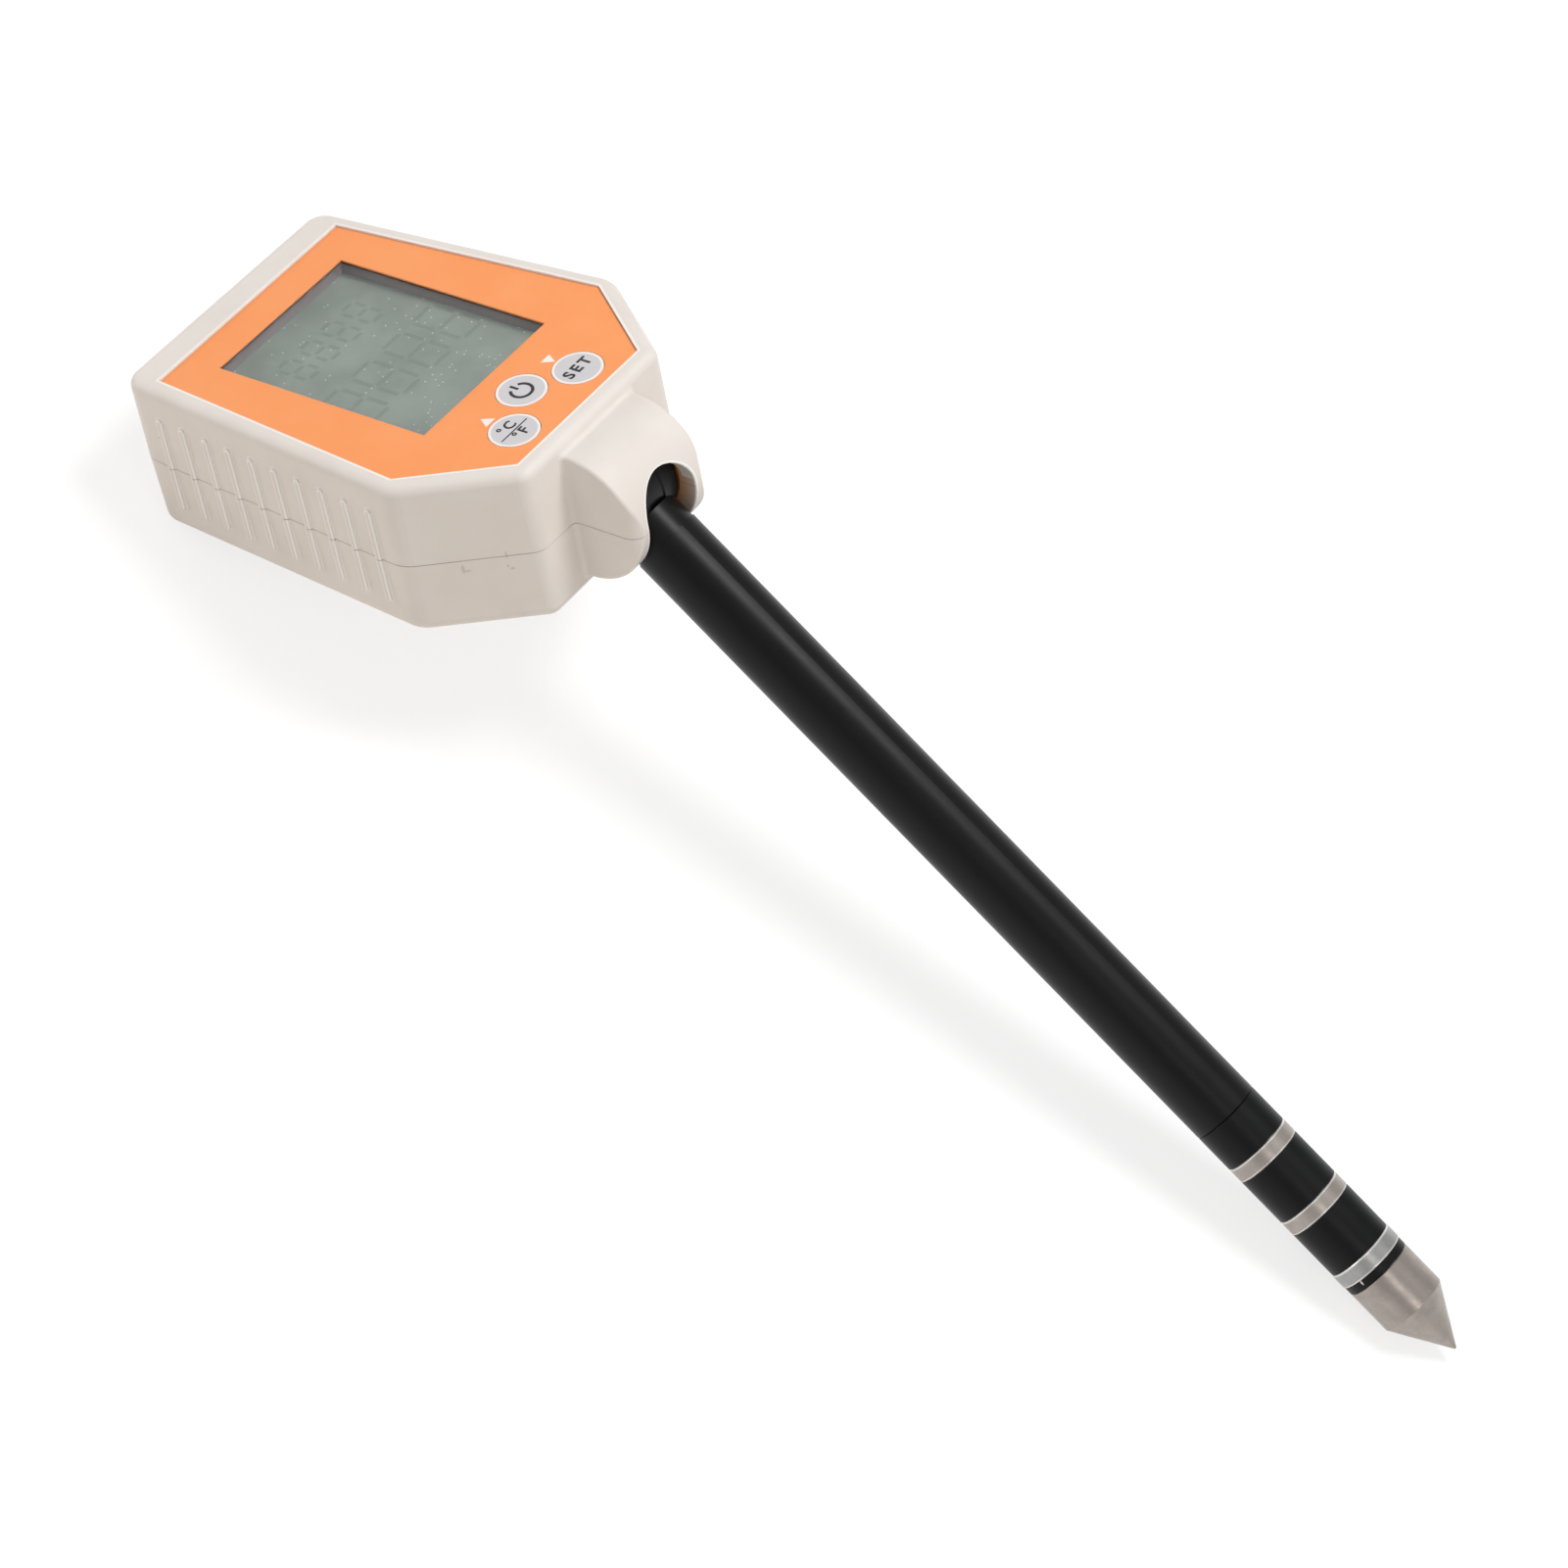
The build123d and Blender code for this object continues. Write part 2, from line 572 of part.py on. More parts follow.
with BuildPart() as display_gasket:
    with BuildSketch(level(LCD_TOP_Z)):
        with Locations((WINDOW_X, 0)):
            Rectangle(LCD_L, LCD_W)
    extrude(amount=FACE_IN_Z - LCD_TOP_Z)
    with BuildSketch(level(FACE_IN_Z)):
        with Locations((WINDOW_X, 0)):
            Rectangle(WINDOW_L + 2 * GASKET_WALL, WINDOW_W + 2 * GASKET_WALL)
    extrude(amount=LENS_FOOT_Z - FACE_IN_Z)
    with BuildSketch(level(LCD_TOP_Z)):
        with Locations((WINDOW_X, 0)):
            Rectangle(WINDOW_L, WINDOW_W)
    extrude(amount=LENS_FOOT_Z - LCD_TOP_Z, mode=Mode.SUBTRACT)

with BuildPart() as lcd_panel:
    with BuildSketch(level(LCD_FOOT_Z)):
        with Locations((WINDOW_X, 0)):
            Rectangle(LCD_L, LCD_W)
    extrude(amount=LCD_T)

with BuildPart() as zebra_strips:
    with BuildSketch(level(BOARD_TOP_Z)):
        with Locations(*mirrored([(WINDOW_X, ZEBRA_Y)])):
            Rectangle(ZEBRA_L, ZEBRA_W)
    extrude(amount=ZEBRA_H)

with BuildPart() as main_board:
    with BuildSketch(level(BOARD_FOOT_Z)):
        board_inset = LABEL_MARGIN + BOARD_GAP
        head_outline(board_inset, BOARD_FAR_X - FAR_X)
        with Locations((PIVOT_X - KNUCKLE_R - BOARD_GAP, 0)):
            notch_w = 2 * (KNUCKLE_HALF + BOARD_GAP)
            Rectangle(KNUCKLE_R, notch_w, align=(Align.MIN, Align.CENTER), mode=Mode.SUBTRACT)
        with Locations((BOARD_END_X, 0)):
            Rectangle(WALL, 2 * HEAD_END_HALF, align=(Align.MIN, Align.CENTER), mode=Mode.SUBTRACT)
        with Locations(*mirrored(CASE_SCREWS)):
            Circle(FRONT_PILLAR_R + BOARD_GAP / 2, mode=Mode.SUBTRACT)
        with Locations(*mirrored(BOARD_SCREWS)):
            Circle(BOARD_SCREW_R + BOARD_HOLE_GAP, mode=Mode.SUBTRACT)
    extrude(amount=BOARD_T)

with BuildPart() as board_chips:
    for x, y, length, width, height in CHIPS:
        with BuildSketch(level(BOARD_FOOT_Z)):
            with Locations((x, y)):
                Rectangle(length, width)
        extrude(amount=-height)

with BuildPart() as tact_switches:
    with BuildSketch(level(BOARD_TOP_Z)):
        with Locations(*[(x, y) for x, y, name in KEYS]):
            Rectangle(SWITCH_SIDE, SWITCH_SIDE)
    extrude(amount=SWITCH_H)
    with BuildSketch(level(BOARD_TOP_Z + SWITCH_H)):
        with Locations(*[(x, y) for x, y, name in KEYS]):
            Circle(SWITCH_PLUNGER_R + KEY_GAP)
    extrude(amount=-SWITCH_SOCKET, mode=Mode.SUBTRACT)


def make_key(x, y):
    """A round key, held behind the face by its flange, with a stem over its switch."""
    flange_top = FACE_IN_Z - KEY_SEAT_GAP
    with BuildPart() as key:
        with BuildSketch(level(flange_top)):
            with Locations((x, y)):
                Circle(KEY_R)
        extrude(amount=-flange_top)
        with BuildSketch(level(flange_top)):
            with Locations((x, y)):
                Circle(KEY_R + KEY_FLANGE)
        extrude(amount=-KEY_FLANGE_T)
        with BuildSketch(level(flange_top - KEY_FLANGE_T)):
            with Locations((x, y)):
                Circle(STEM_R)
        extrude(amount=-STEM_DEPTH)
    return key.part


def make_plunger(x, y):
    """The moving button of a switch, between the key's stem and the switch's socket."""
    top = FACE_IN_Z - KEY_SEAT_GAP - KEY_FLANGE_T - STEM_DEPTH
    foot = BOARD_TOP_Z + SWITCH_H - SWITCH_SOCKET + KEY_TRAVEL + KEY_SEAT_GAP
    with BuildPart() as plunger:
        with BuildSketch(level(foot)):
            with Locations((x, y)):
                Circle(SWITCH_PLUNGER_R)
        extrude(amount=top - foot)
    return plunger.part


def make_screws(places, seat_z, shank_r, length, head_r, head_h):
    """Pan-head screws whose heads sit on seat_z and whose shanks point to the face."""
    with BuildPart() as screws:
        with BuildSketch(level(seat_z)):
            with Locations(*places):
                Circle(shank_r)
        extrude(amount=length)
        with BuildSketch(level(seat_z)):
            with Locations(*places):
                Circle(head_r)
        extrude(amount=-head_h)
        chamfer(screws.edges().filter_by(GeomType.CIRCLE).group_by(UP)[0], SCREW_HEAD_EDGE)
    return screws.part


with BuildPart() as case_screws:
    seat_z = BACK_Z + COUNTERBORE_DEPTH
    add(make_screws(mirrored(CASE_SCREWS), seat_z, SCREW_R, SCREW_L, SCREW_HEAD_R, SCREW_HEAD_H))
    with BuildSketch(level(seat_z - SCREW_HEAD_H)):
        with Locations(*mirrored(CASE_SCREWS)):
            Rectangle(CROSS_L, CROSS_W)
            Rectangle(CROSS_W, CROSS_L)
    extrude(amount=CROSS_DEPTH, mode=Mode.SUBTRACT)

board_screw_sizes = (BOARD_SCREW_R, BOARD_SCREW_L, BOARD_SCREW_HEAD_R, BOARD_SCREW_HEAD_H)
with BuildPart() as board_screws:
    add(make_screws(mirrored(BOARD_SCREWS), BOARD_FOOT_Z, *board_screw_sizes))

near_end = BAY_NEAR_X - PLATE_T - CELL_NUB_L
far_end = BAY_FAR_X + PLATE_T + CELL_NUB_L

with BuildPart() as battery_cells:
    for side, can_x in ((1, near_end), (-1, far_end)):
        can_end = in_head(can_x, side * CELL_Y, CELL_Z)
        end_plane = Plane(origin=can_end, x_dir=(0, 1, 0), z_dir=HEAD.x_dir * side)
        with BuildSketch(end_plane):
            Circle(CELL_R)
        extrude(amount=-(CELL_L - CELL_NUB_L))
        with BuildSketch(end_plane):
            Circle(CELL_NUB_R)
        extrude(amount=CELL_NUB_L)

with BuildPart() as battery_plates:
    near_plane = Plane(origin=in_head(BAY_NEAR_X, 0, CELL_Z), x_dir=(0, -1, 0), z_dir=-HEAD.x_dir)
    with BuildSketch(near_plane):
        for side in (1, -1):
            with Locations((side * CELL_Y, 0)):
                Rectangle(PLATE_W, PLATE_H)
                tab_top = BAY_TOP_Z + BAY_WALL + PLATE_TAB_RISE - CELL_Z
                Rectangle(PLATE_TAB_W, tab_top, align=(Align.CENTER, Align.MIN))
    extrude(amount=PLATE_T)
    far_plane = Plane(origin=in_head(BAY_FAR_X, 0, CELL_Z), x_dir=(0, 1, 0), z_dir=HEAD.x_dir)
    with BuildSketch(far_plane):
        Rectangle(2 * CELL_Y + PLATE_W, PLATE_H)
    extrude(amount=PLATE_T)


def make_spring(x, y, direction):
    """A leaf bent up from its foot on a plate to the flat end of a cell, and back a little."""
    near = x + direction * SPRING_T / 2
    far = x + direction * (SPRING_L - SPRING_GAP - SPRING_T / 2)
    with BuildPart() as spring:
        with BuildLine(SIDE.offset(-y)) as bow:
            FilletPolyline(
                (near, CELL_Z - SPRING_FOOT),
                (near, CELL_Z - SPRING_FOOT / 2),
                (far, CELL_Z),
                ((near + far) / 2, CELL_Z + SPRING_FOOT),
                radius=SPRING_BEND_R,
            )
        with BuildSketch(Plane(origin=bow.wire() @ 0, x_dir=(0, 1, 0), z_dir=bow.wire() % 0)):
            Rectangle(SPRING_W, SPRING_T)
        sweep(path=bow.wire())
    return spring.part


with BuildPart() as battery_springs:
    add(make_spring(BAY_FAR_X + PLATE_T, CELL_Y, 1))
    add(make_spring(BAY_NEAR_X - PLATE_T, -CELL_Y, -1))

with BuildPart() as battery_wires:
    tab_end_z = BAY_TOP_Z + BAY_WALL + PLATE_TAB_RISE
    with BuildSketch(level(tab_end_z)):
        with Locations(*mirrored([(BAY_NEAR_X - PLATE_T / 2, CELL_Y)])):
            Circle(BATTERY_WIRE_R)
    extrude(amount=BOARD_FOOT_Z - tab_end_z)

with BuildPart() as battery_door:
    with BuildSketch(level(BACK_Z)):
        with Locations(((DOOR_FAR_X + DOOR_NEAR_X) / 2, 0)):
            RectangleRounded(DOOR_NEAR_X - DOOR_FAR_X, 2 * DOOR_HALF, DOOR_CORNER_R)
    extrude(amount=DOOR_T)
    with BuildSketch(level(DOOR_IN_Z)):
        with Locations(*mirrored([(DOOR_NEAR_X - DOOR_TAB_ROOT, DOOR_TAB_Y)])):
            Rectangle(DOOR_TAB_ROOT + DOOR_TAB_REACH, DOOR_TAB_W, align=(Align.MIN, Align.CENTER))
    extrude(amount=DOOR_TAB_T)
    with BuildSketch(level(BACK_Z)):
        with Locations((DOOR_FAR_X, 0)):
            Circle(DOOR_NOTCH_R)
    extrude(amount=DOOR_NOTCH_DEPTH, mode=Mode.SUBTRACT)
    with BuildSketch(level(BACK_Z)):
        for i in range(DOOR_GROOVES):
            with Locations((DOOR_FAR_X + DOOR_NOTCH_R + (i + 1) * DOOR_GROOVE_PITCH, 0)):
                Rectangle(DOOR_GROOVE_PITCH / 2, 2 * DOOR_NOTCH_R)
    extrude(amount=DOOR_NOTCH_DEPTH / 2, mode=Mode.SUBTRACT)

with BuildPart() as lead_plug:
    with BuildSketch(level(BOARD_FOOT_Z)):
        with Locations((PLUG_X, PLUG_Y)):
            Rectangle(PLUG_L, PLUG_W)
    extrude(amount=-PLUG_H)

with BuildPart() as head_lead:
    plug_end = PLUG_X + PLUG_L / 2
    plug_z = BOARD_FOOT_Z - PLUG_H / 2
    exit_x = PIVOT_X - KNUCKLE_R - LEAD_STEP
    with BuildLine() as route:
        FilletPolyline(
            in_head(PIVOT_X, 0, PIVOT_Z),
            in_head(exit_x, 0, PIVOT_Z),
            in_head(plug_end + LEAD_RUN, PLUG_Y, plug_z),
            in_head(plug_end, PLUG_Y, plug_z),
            radius=LEAD_BEND_R,
        )
    with BuildSketch(Plane(origin=route.wire() @ 0, z_dir=route.wire() % 0)):
        Circle(LEAD_R)
    sweep(path=route.wire())
    with Locations(PIVOT):
        Sphere(LEAD_R)

with BuildPart() as hinge_knuckle:
    trunnion_end = SLOT_HALF + TRUNNION_DEPTH
    with BuildSketch(HINGE_SECTION):
        with BuildLine():
            half = [
                (0, KNUCKLE_R),
                (KNUCKLE_BEVEL_Y, KNUCKLE_R),
                (KNUCKLE_HALF, KNUCKLE_R - KNUCKLE_BEVEL_R),
                (KNUCKLE_HALF, TRUNNION_R),
                (trunnion_end, TRUNNION_R),
                (trunnion_end, 0),
            ]
            Polyline(*half, *[(-y, r) for y, r in reversed(half)], close=True)
        make_face()
    revolve(axis=HINGE_AXIS)
    with BuildSketch(HINGE_SECTION.offset(NECK_START)):
        Circle(PROBE_R - NECK_STEP)
    extrude(amount=TUBE_START - NECK_START)
    with BuildSketch(HINGE_SECTION.offset(TUBE_START)):
        Circle(SPIGOT_R)
    extrude(amount=SPIGOT_L)
    with BuildSketch(HINGE_SECTION):
        Circle(LEAD_HOLE_R)
    extrude(amount=TUBE_START + SPIGOT_L, mode=Mode.SUBTRACT)
    with BuildSketch(SIDE):
        reach = KNUCKLE_R + CUT_OVER
        sweep_from = 180 - BEND
        sweep_to = 180 - BEND + FOLD_LIMIT
        for angle in (sweep_from, sweep_to):
            with Locations(Location((PIVOT_X, PIVOT_Z), angle)):
                Rectangle(reach, 2 * LEAD_WINDOW, align=(Align.MIN, Align.CENTER))
        with Locations((PIVOT_X, PIVOT_Z)):
            Circle(LEAD_WINDOW)
        with BuildLine():
            corners = [(PIVOT_X, PIVOT_Z)]
            for angle in (sweep_from, (sweep_from + sweep_to) / 2, sweep_to):
                x = PIVOT_X + reach * cos(radians(angle))
                corners.append((x, PIVOT_Z + reach * sin(radians(angle))))
            Polyline(*corners, close=True)
        make_face()
    extrude(amount=LEAD_WINDOW, both=True, mode=Mode.SUBTRACT)

with BuildPart() as friction_washers:
    for side in (1, -1):
        with BuildSketch(SIDE.offset(-side * (KNUCKLE_HALF + PIVOT_GAP))):
            with Locations((PIVOT_X, PIVOT_Z)):
                Circle(WASHER_R)
                Circle(TRUNNION_R + PIVOT_GAP, mode=Mode.SUBTRACT)
        extrude(amount=-side * WASHER_T)


def turned(profile):
    """A piece of the probe, turned about the probe's axis from points of place and radius."""
    with BuildPart() as piece:
        with BuildSketch(PROBE_SECTION):
            with BuildLine():
                Polyline(*profile, close=True)
            make_face()
        revolve(axis=PROBE_AXIS)
    return piece.part


def ring_profile(start, length, outer_r, bore_r):
    """A ring's half section, with its outer edges broken."""
    end = start + length
    shoulder = outer_r - EDGE_BREAK
    return (
        (start, bore_r),
        (end, bore_r),
        (end, shoulder),
        (end - EDGE_BREAK, outer_r),
        (start + EDGE_BREAK, outer_r),
        (start, shoulder),
    )


core_bore = CORE_R + CORE_GAP
spacer_l = RING_PITCH - RING_L

with BuildPart() as probe_tube:
    add(
        turned(
            (
                (TUBE_START, TUBE_BORE_R),
                (SLEEVE_START, TUBE_BORE_R),
                (SLEEVE_START, PROBE_R - EDGE_BREAK),
                (SLEEVE_START - EDGE_BREAK, PROBE_R),
                (TUBE_START, PROBE_R),
            )
        )
    )

with BuildPart() as sleeve_upper:
    add(
        turned(
            (
                (SLEEVE_START - SLEEVE_SPIGOT_L, LEAD_HOLE_R),
                (RING_1_START - CORE_IN_SLEEVE, LEAD_HOLE_R),
                (RING_1_START - CORE_IN_SLEEVE, core_bore),
                (RING_1_START, core_bore),
                (RING_1_START, PROBE_R - EDGE_BREAK),
                (RING_1_START - EDGE_BREAK, PROBE_R),
                (SLEEVE_START + EDGE_BREAK, PROBE_R),
                (SLEEVE_START, PROBE_R - EDGE_BREAK),
                (SLEEVE_START, SPIGOT_R),
                (SLEEVE_START - SLEEVE_SPIGOT_L, SPIGOT_R),
            )
        )
    )

with BuildPart() as electrode_ring_1:
    add(turned(ring_profile(RING_1_START, RING_L, PROBE_R, core_bore)))

with BuildPart() as spacer_1:
    add(turned(ring_profile(RING_1_START + RING_L, spacer_l, PROBE_R, core_bore)))

with BuildPart() as electrode_ring_2:
    add(turned(ring_profile(RING_2_START, RING_L, PROBE_R, core_bore)))

with BuildPart() as spacer_2:
    add(turned(ring_profile(RING_2_START + RING_L, spacer_l, PROBE_R, core_bore)))

with BuildPart() as electrode_ring_3:
    add(turned(ring_profile(RING_3_START, RING_L, PROBE_R + LAST_RING_EXTRA_R, core_bore)))

with BuildPart() as spacer_3:
    add(turned(ring_profile(RING_3_START + RING_L, LAST_SPACER_L, PROBE_R, core_bore)))

with BuildPart() as sensor_core:
    core_start = RING_1_START - CORE_IN_SLEEVE + CORE_GAP
    core_end = TIP_START + CORE_IN_TIP
    add(
        turned(
            (
                (core_start, LEAD_HOLE_R),
                (core_end, LEAD_HOLE_R),
                (core_end, CORE_R),
                (core_start, CORE_R),
            )
        )
    )

with BuildPart() as probe_tip:
    with BuildSketch(PROBE_SECTION):
        with BuildLine():
            half_angle = radians(TIP_CONE_ANGLE / 2)
            pocket_start = core_end + CORE_GAP
            pocket_end = pocket_start + SENSOR_L + 2 * CORE_GAP
            nose_centre = PROBE_L - TIP_NOSE_R
            blend = (nose_centre + TIP_NOSE_R * sin(half_angle), TIP_NOSE_R * cos(half_angle))
            outer = Polyline(
                (pocket_end, 0),
                (pocket_end, SENSOR_R + CORE_GAP),
                (pocket_start, SENSOR_R + CORE_GAP),
                (pocket_start, core_bore),
                (TIP_START, core_bore),
                (TIP_START, PROBE_R - EDGE_BREAK),
                (TIP_START + EDGE_BREAK, PROBE_R),
                (TIP_SHOULDER, PROBE_R),
                blend,
            )
            nose_mid = radians(90 - TIP_CONE_ANGLE / 2) / 2
            ThreePointArc(
                blend,
                (nose_centre + TIP_NOSE_R * cos(nose_mid), TIP_NOSE_R * sin(nose_mid)),
                (PROBE_L, 0),
            )
            Line((PROBE_L, 0), (pocket_end, 0))
        make_face()
    revolve(axis=PROBE_AXIS)

with BuildPart() as thermistor:
    with BuildSketch(HINGE_SECTION.offset(pocket_start + CORE_GAP)):
        Circle(SENSOR_R)
    extrude(amount=SENSOR_L)
    chamfer(thermistor.edges().group_by(PROBE_AXIS)[-1], SENSOR_EDGE)

with BuildPart() as sensor_lead:
    with BuildSketch(HINGE_SECTION.offset(LEAD_R + LEAD_JOINT_GAP)):
        Circle(LEAD_R)
    extrude(amount=pocket_start + CORE_GAP - LEAD_R - LEAD_JOINT_GAP)

pieces = {
    "front_housing": front_housing.part,
    "rear_housing": rear_housing.part,
    "overlay_label": overlay_label.part,
    "window_lens": window_lens.part,
    "display_gasket": display_gasket.part,
    "lcd_panel": lcd_panel.part,
    "zebra_strips": zebra_strips.part,
    "main_board": main_board.part,
    "board_chips": board_chips.part,
    "tact_switches": tact_switches.part,
    "case_screws": case_screws.part,
    "board_screws": board_screws.part,
    "battery_cells": battery_cells.part,
    "battery_plates": battery_plates.part,
    "battery_springs": battery_springs.part,
    "battery_wires": battery_wires.part,
    "battery_door": battery_door.part,
    "lead_plug": lead_plug.part,
    "head_lead": head_lead.part,
    "hinge_knuckle": hinge_knuckle.part,
    "friction_washers": friction_washers.part,
    "probe_tube": probe_tube.part,
    "sleeve_upper": sleeve_upper.part,
    "electrode_ring_1": electrode_ring_1.part,
    "electrode_ring_2": electrode_ring_2.part,
    "electrode_ring_3": electrode_ring_3.part,
    "spacer_1": spacer_1.part,
    "spacer_2": spacer_2.part,
    "spacer_3": spacer_3.part,
    "sensor_core": sensor_core.part,
    "probe_tip": probe_tip.part,
    "thermistor": thermistor.part,
    "sensor_lead": sensor_lead.part,
}
for x, y, name in KEYS:
    pieces[f"key_{name}"] = make_key(x, y)
    pieces[f"switch_plunger_{name}"] = make_plunger(x, y)

os.makedirs("parts", exist_ok=True)
for name, piece in pieces.items():
    piece.label = name
    export_step(piece, f"parts/{name}.step")
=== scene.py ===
import json
from math import pi, radians

import bmesh
import bpy
from mathutils import Matrix, Vector


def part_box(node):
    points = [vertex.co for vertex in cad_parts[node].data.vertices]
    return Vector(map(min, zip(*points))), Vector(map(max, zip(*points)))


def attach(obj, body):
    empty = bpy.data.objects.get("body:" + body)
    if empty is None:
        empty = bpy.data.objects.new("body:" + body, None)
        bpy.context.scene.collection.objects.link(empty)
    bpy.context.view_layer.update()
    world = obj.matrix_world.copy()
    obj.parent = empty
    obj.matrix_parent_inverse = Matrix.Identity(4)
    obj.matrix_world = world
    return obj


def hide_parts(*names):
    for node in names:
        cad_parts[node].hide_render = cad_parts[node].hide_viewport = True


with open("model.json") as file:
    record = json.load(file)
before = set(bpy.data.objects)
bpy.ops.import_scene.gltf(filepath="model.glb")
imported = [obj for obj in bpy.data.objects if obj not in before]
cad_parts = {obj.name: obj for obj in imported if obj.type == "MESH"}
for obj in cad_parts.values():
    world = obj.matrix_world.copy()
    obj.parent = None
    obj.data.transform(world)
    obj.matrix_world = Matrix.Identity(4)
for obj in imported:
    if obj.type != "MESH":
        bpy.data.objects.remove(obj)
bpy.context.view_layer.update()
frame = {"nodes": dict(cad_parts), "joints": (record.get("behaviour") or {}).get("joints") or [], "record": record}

# Three frames are used, all in millimetres. The head's frame has its zero in the middle of the
# label's far edge, on the label's top: x towards the hinge, y across, z out of the face. The
# probe's frame has its zero on the hinge axis and z along the probe. The hinge's frame has the
# same zero, and z along the axis.
MM = 0.001
PIVOT_IN_HEAD = Vector((72.6, 0.0, -14.15))
LABEL_TOP = 0.0
DISPLAY_TOP = -3.0
WINDOW_MIDDLE_X = 28.3
PARTING_Z = -15.2

# The label's outline: its near edge, and for the two slopes on each side the direction out of them, along and
# across, and their distance from the zero; then how far outside it the painted highlight line on the housing's rim
# lies
LABEL_NEAR_X = 68.8
LABEL_SLOPES = ((-0.0828, 0.9966, 23.145), (0.5738, 0.8191, 52.61))
RIM_LINE = 0.3

# Keys and print
KEY_PLACES = {"power": (57.4, 0.0), "set": (62.3, 8.6), "unit": (62.7, -8.9)}
KEY_R = 4.25
KEY_RING = 0.45
INK_T = 0.02
SEGMENT_W = 0.75

# Ribs on both sides of the head, and how far their painted highlight lines lie from a rib's middle line
RIB_FIRST_X = 0.88
RIB_PITCH = 5.26
RIB_MIDDLE_Z = -14.5
RIB_HALF = 9.5
RIB_WIDTH = 1.6
RIB_FLANK = 0.45
RIB_FOOT = 0.86
RIB_ROW_X = 24.55
RIB_ROW_HALF = 25.2
SIDE_FROM_Y = 25.0

# The hinge barrel, its slot and what turns in it. The slot's lower end points the folded way,
# along the head and out of its face.
BARREL_R = 12.15
SLOT_HALF = 6.3
SLOT_ROUNDING = 0.24
SLOT_FOLDED_WAY = (-0.866, -0.5)
# Painted shade in the slot is full up to this radius from the hinge axis
SLOT_SHADE_FULL_R = 9.0
KNUCKLE_R = 8.9
KNUCKLE_HALF = 4.8
FLANGE_R = 9.15
FLANGE_FROM = 1.9
FLANGE_HALF = 5.75
TRUNNION_R = 2.5
WASHER_T = 0.45
TURNED_STEPS = 96

# Electrode rings and battery cells
RING_1_MIDDLE = 149.88
RING_PITCH = 12.0
RING_HALF = 1.425
CELL_LENGTH = 44.5

# The camera, in the head's frame, from the hinge axis
EYE = (485.96, -501.81, 526.1)
PICTURE_RIGHT = Vector((0.80731, 0.57107, -0.14874))
PICTURE_DOWN = Vector((0.28703, -0.60021, -0.74657))
LENS = 125.35
SENSOR = 36.0

joints = {joint["name"]: joint for joint in frame["joints"]}
PIVOT = Vector(joints["probe_fold"]["pos_m"])
HEAD_Z = -Vector(joints["key_power_press"]["axis"])
HEAD_Y = Vector((0, 1, 0))
HEAD_X = HEAD_Y.cross(HEAD_Z)
probe_mount = [mount for mount in frame["record"]["mounts"] if mount["name"] == "probe_shaft"]
PROBE_Z = Vector(probe_mount[0]["axis"]) if probe_mount else HEAD_X
PROBE_X = HEAD_Y.cross(PROBE_Z)


def basis(x, y, z, origin):
    """The matrix that takes millimetres along three directions to metres of the part's frame."""
    turn = Matrix((x, y, z)).transposed().to_4x4()
    return Matrix.Translation(origin) @ turn @ Matrix.Scale(MM, 4)


HEAD = basis(HEAD_X, HEAD_Y, HEAD_Z, PIVOT) @ Matrix.Translation(-PIVOT_IN_HEAD)
PROBE = basis(PROBE_X, HEAD_Y, PROBE_Z, PIVOT)
HINGE = basis(HEAD_X, -HEAD_Z, HEAD_Y, PIVOT)
UP_TO_DISPLAY = Matrix.Rotation(pi / 2, 4, "Z")


def paint(red, green, blue):
    """A colour as read off a screen, 0 to 255, as the linear numbers that shaders take."""
    linear = []
    for level in (red, green, blue):
        share = level / 255
        linear.append(share / 12.92 if share <= 0.04045 else ((share + 0.055) / 1.055) ** 2.4)
    return (*linear, 1.0)


# Shader helpers


def put(tree, kind, inputs=None, **settings):
    """A new node: settings are its own, inputs are values or the sockets that feed it."""
    made = tree.nodes.new(kind)
    for key, value in settings.items():
        setattr(made, key, value)
    for key, value in (inputs or {}).items():
        if isinstance(value, bpy.types.NodeSocket):
            tree.links.new(value, made.inputs[key])
        else:
            made.inputs[key].default_value = value
    return made


def work_out(tree, operation, a, b=0.0):
    """One Math node's result."""
    return put(tree, "ShaderNodeMath", {0: a, 1: b}, operation=operation).outputs[0]


def times(tree, a, b):
    """Two values multiplied."""
    return work_out(tree, "MULTIPLY", a, b)


def minus(tree, a, b):
    """One value less another."""
    return work_out(tree, "SUBTRACT", a, b)


def larger(tree, a, b):
    """The larger of two values."""
    return work_out(tree, "MAXIMUM", a, b)


def over(tree, value, limit):
    """One where a value is over a limit, and zero elsewhere."""
    return work_out(tree, "GREATER_THAN", value, limit)


def under(tree, value, limit):
    """One where a value is under a limit, and zero elsewhere."""
    return work_out(tree, "LESS_THAN", value, limit)


def no_sign(tree, value):
    """A value without its sign."""
    return work_out(tree, "ABSOLUTE", value)


def off_from(tree, value, middle):
    """How far a value lies from a middle, to either side."""
    return no_sign(tree, minus(tree, value, middle))


def length_of(tree, a, b):
    """The length of two sides of a right angle taken together."""
    return work_out(tree, "SQRT", work_out(tree, "ADD", times(tree, a, a), times(tree, b, b)))


def remap(tree, value, low, high, to_low=0.0, to_high=1.0):
    """A value taken from one range to another, and kept inside it."""
    ends = {"From Min": low, "From Max": high, "To Min": to_low, "To Max": to_high}
    return put(tree, "ShaderNodeMapRange", {"Value": value, **ends}).outputs["Result"]


def fade(tree, value, full, gone, strength=1.0):
    """Full strength up to one value, fading to nothing at another."""
    return remap(tree, value, full, gone, strength, 0.0)


def work_vectors(tree, operation, a, b=(0.0, 0.0, 0.0)):
    """One Vector Math node's outputs."""
    return put(tree, "ShaderNodeVectorMath", {0: a, 1: b}, operation=operation).outputs


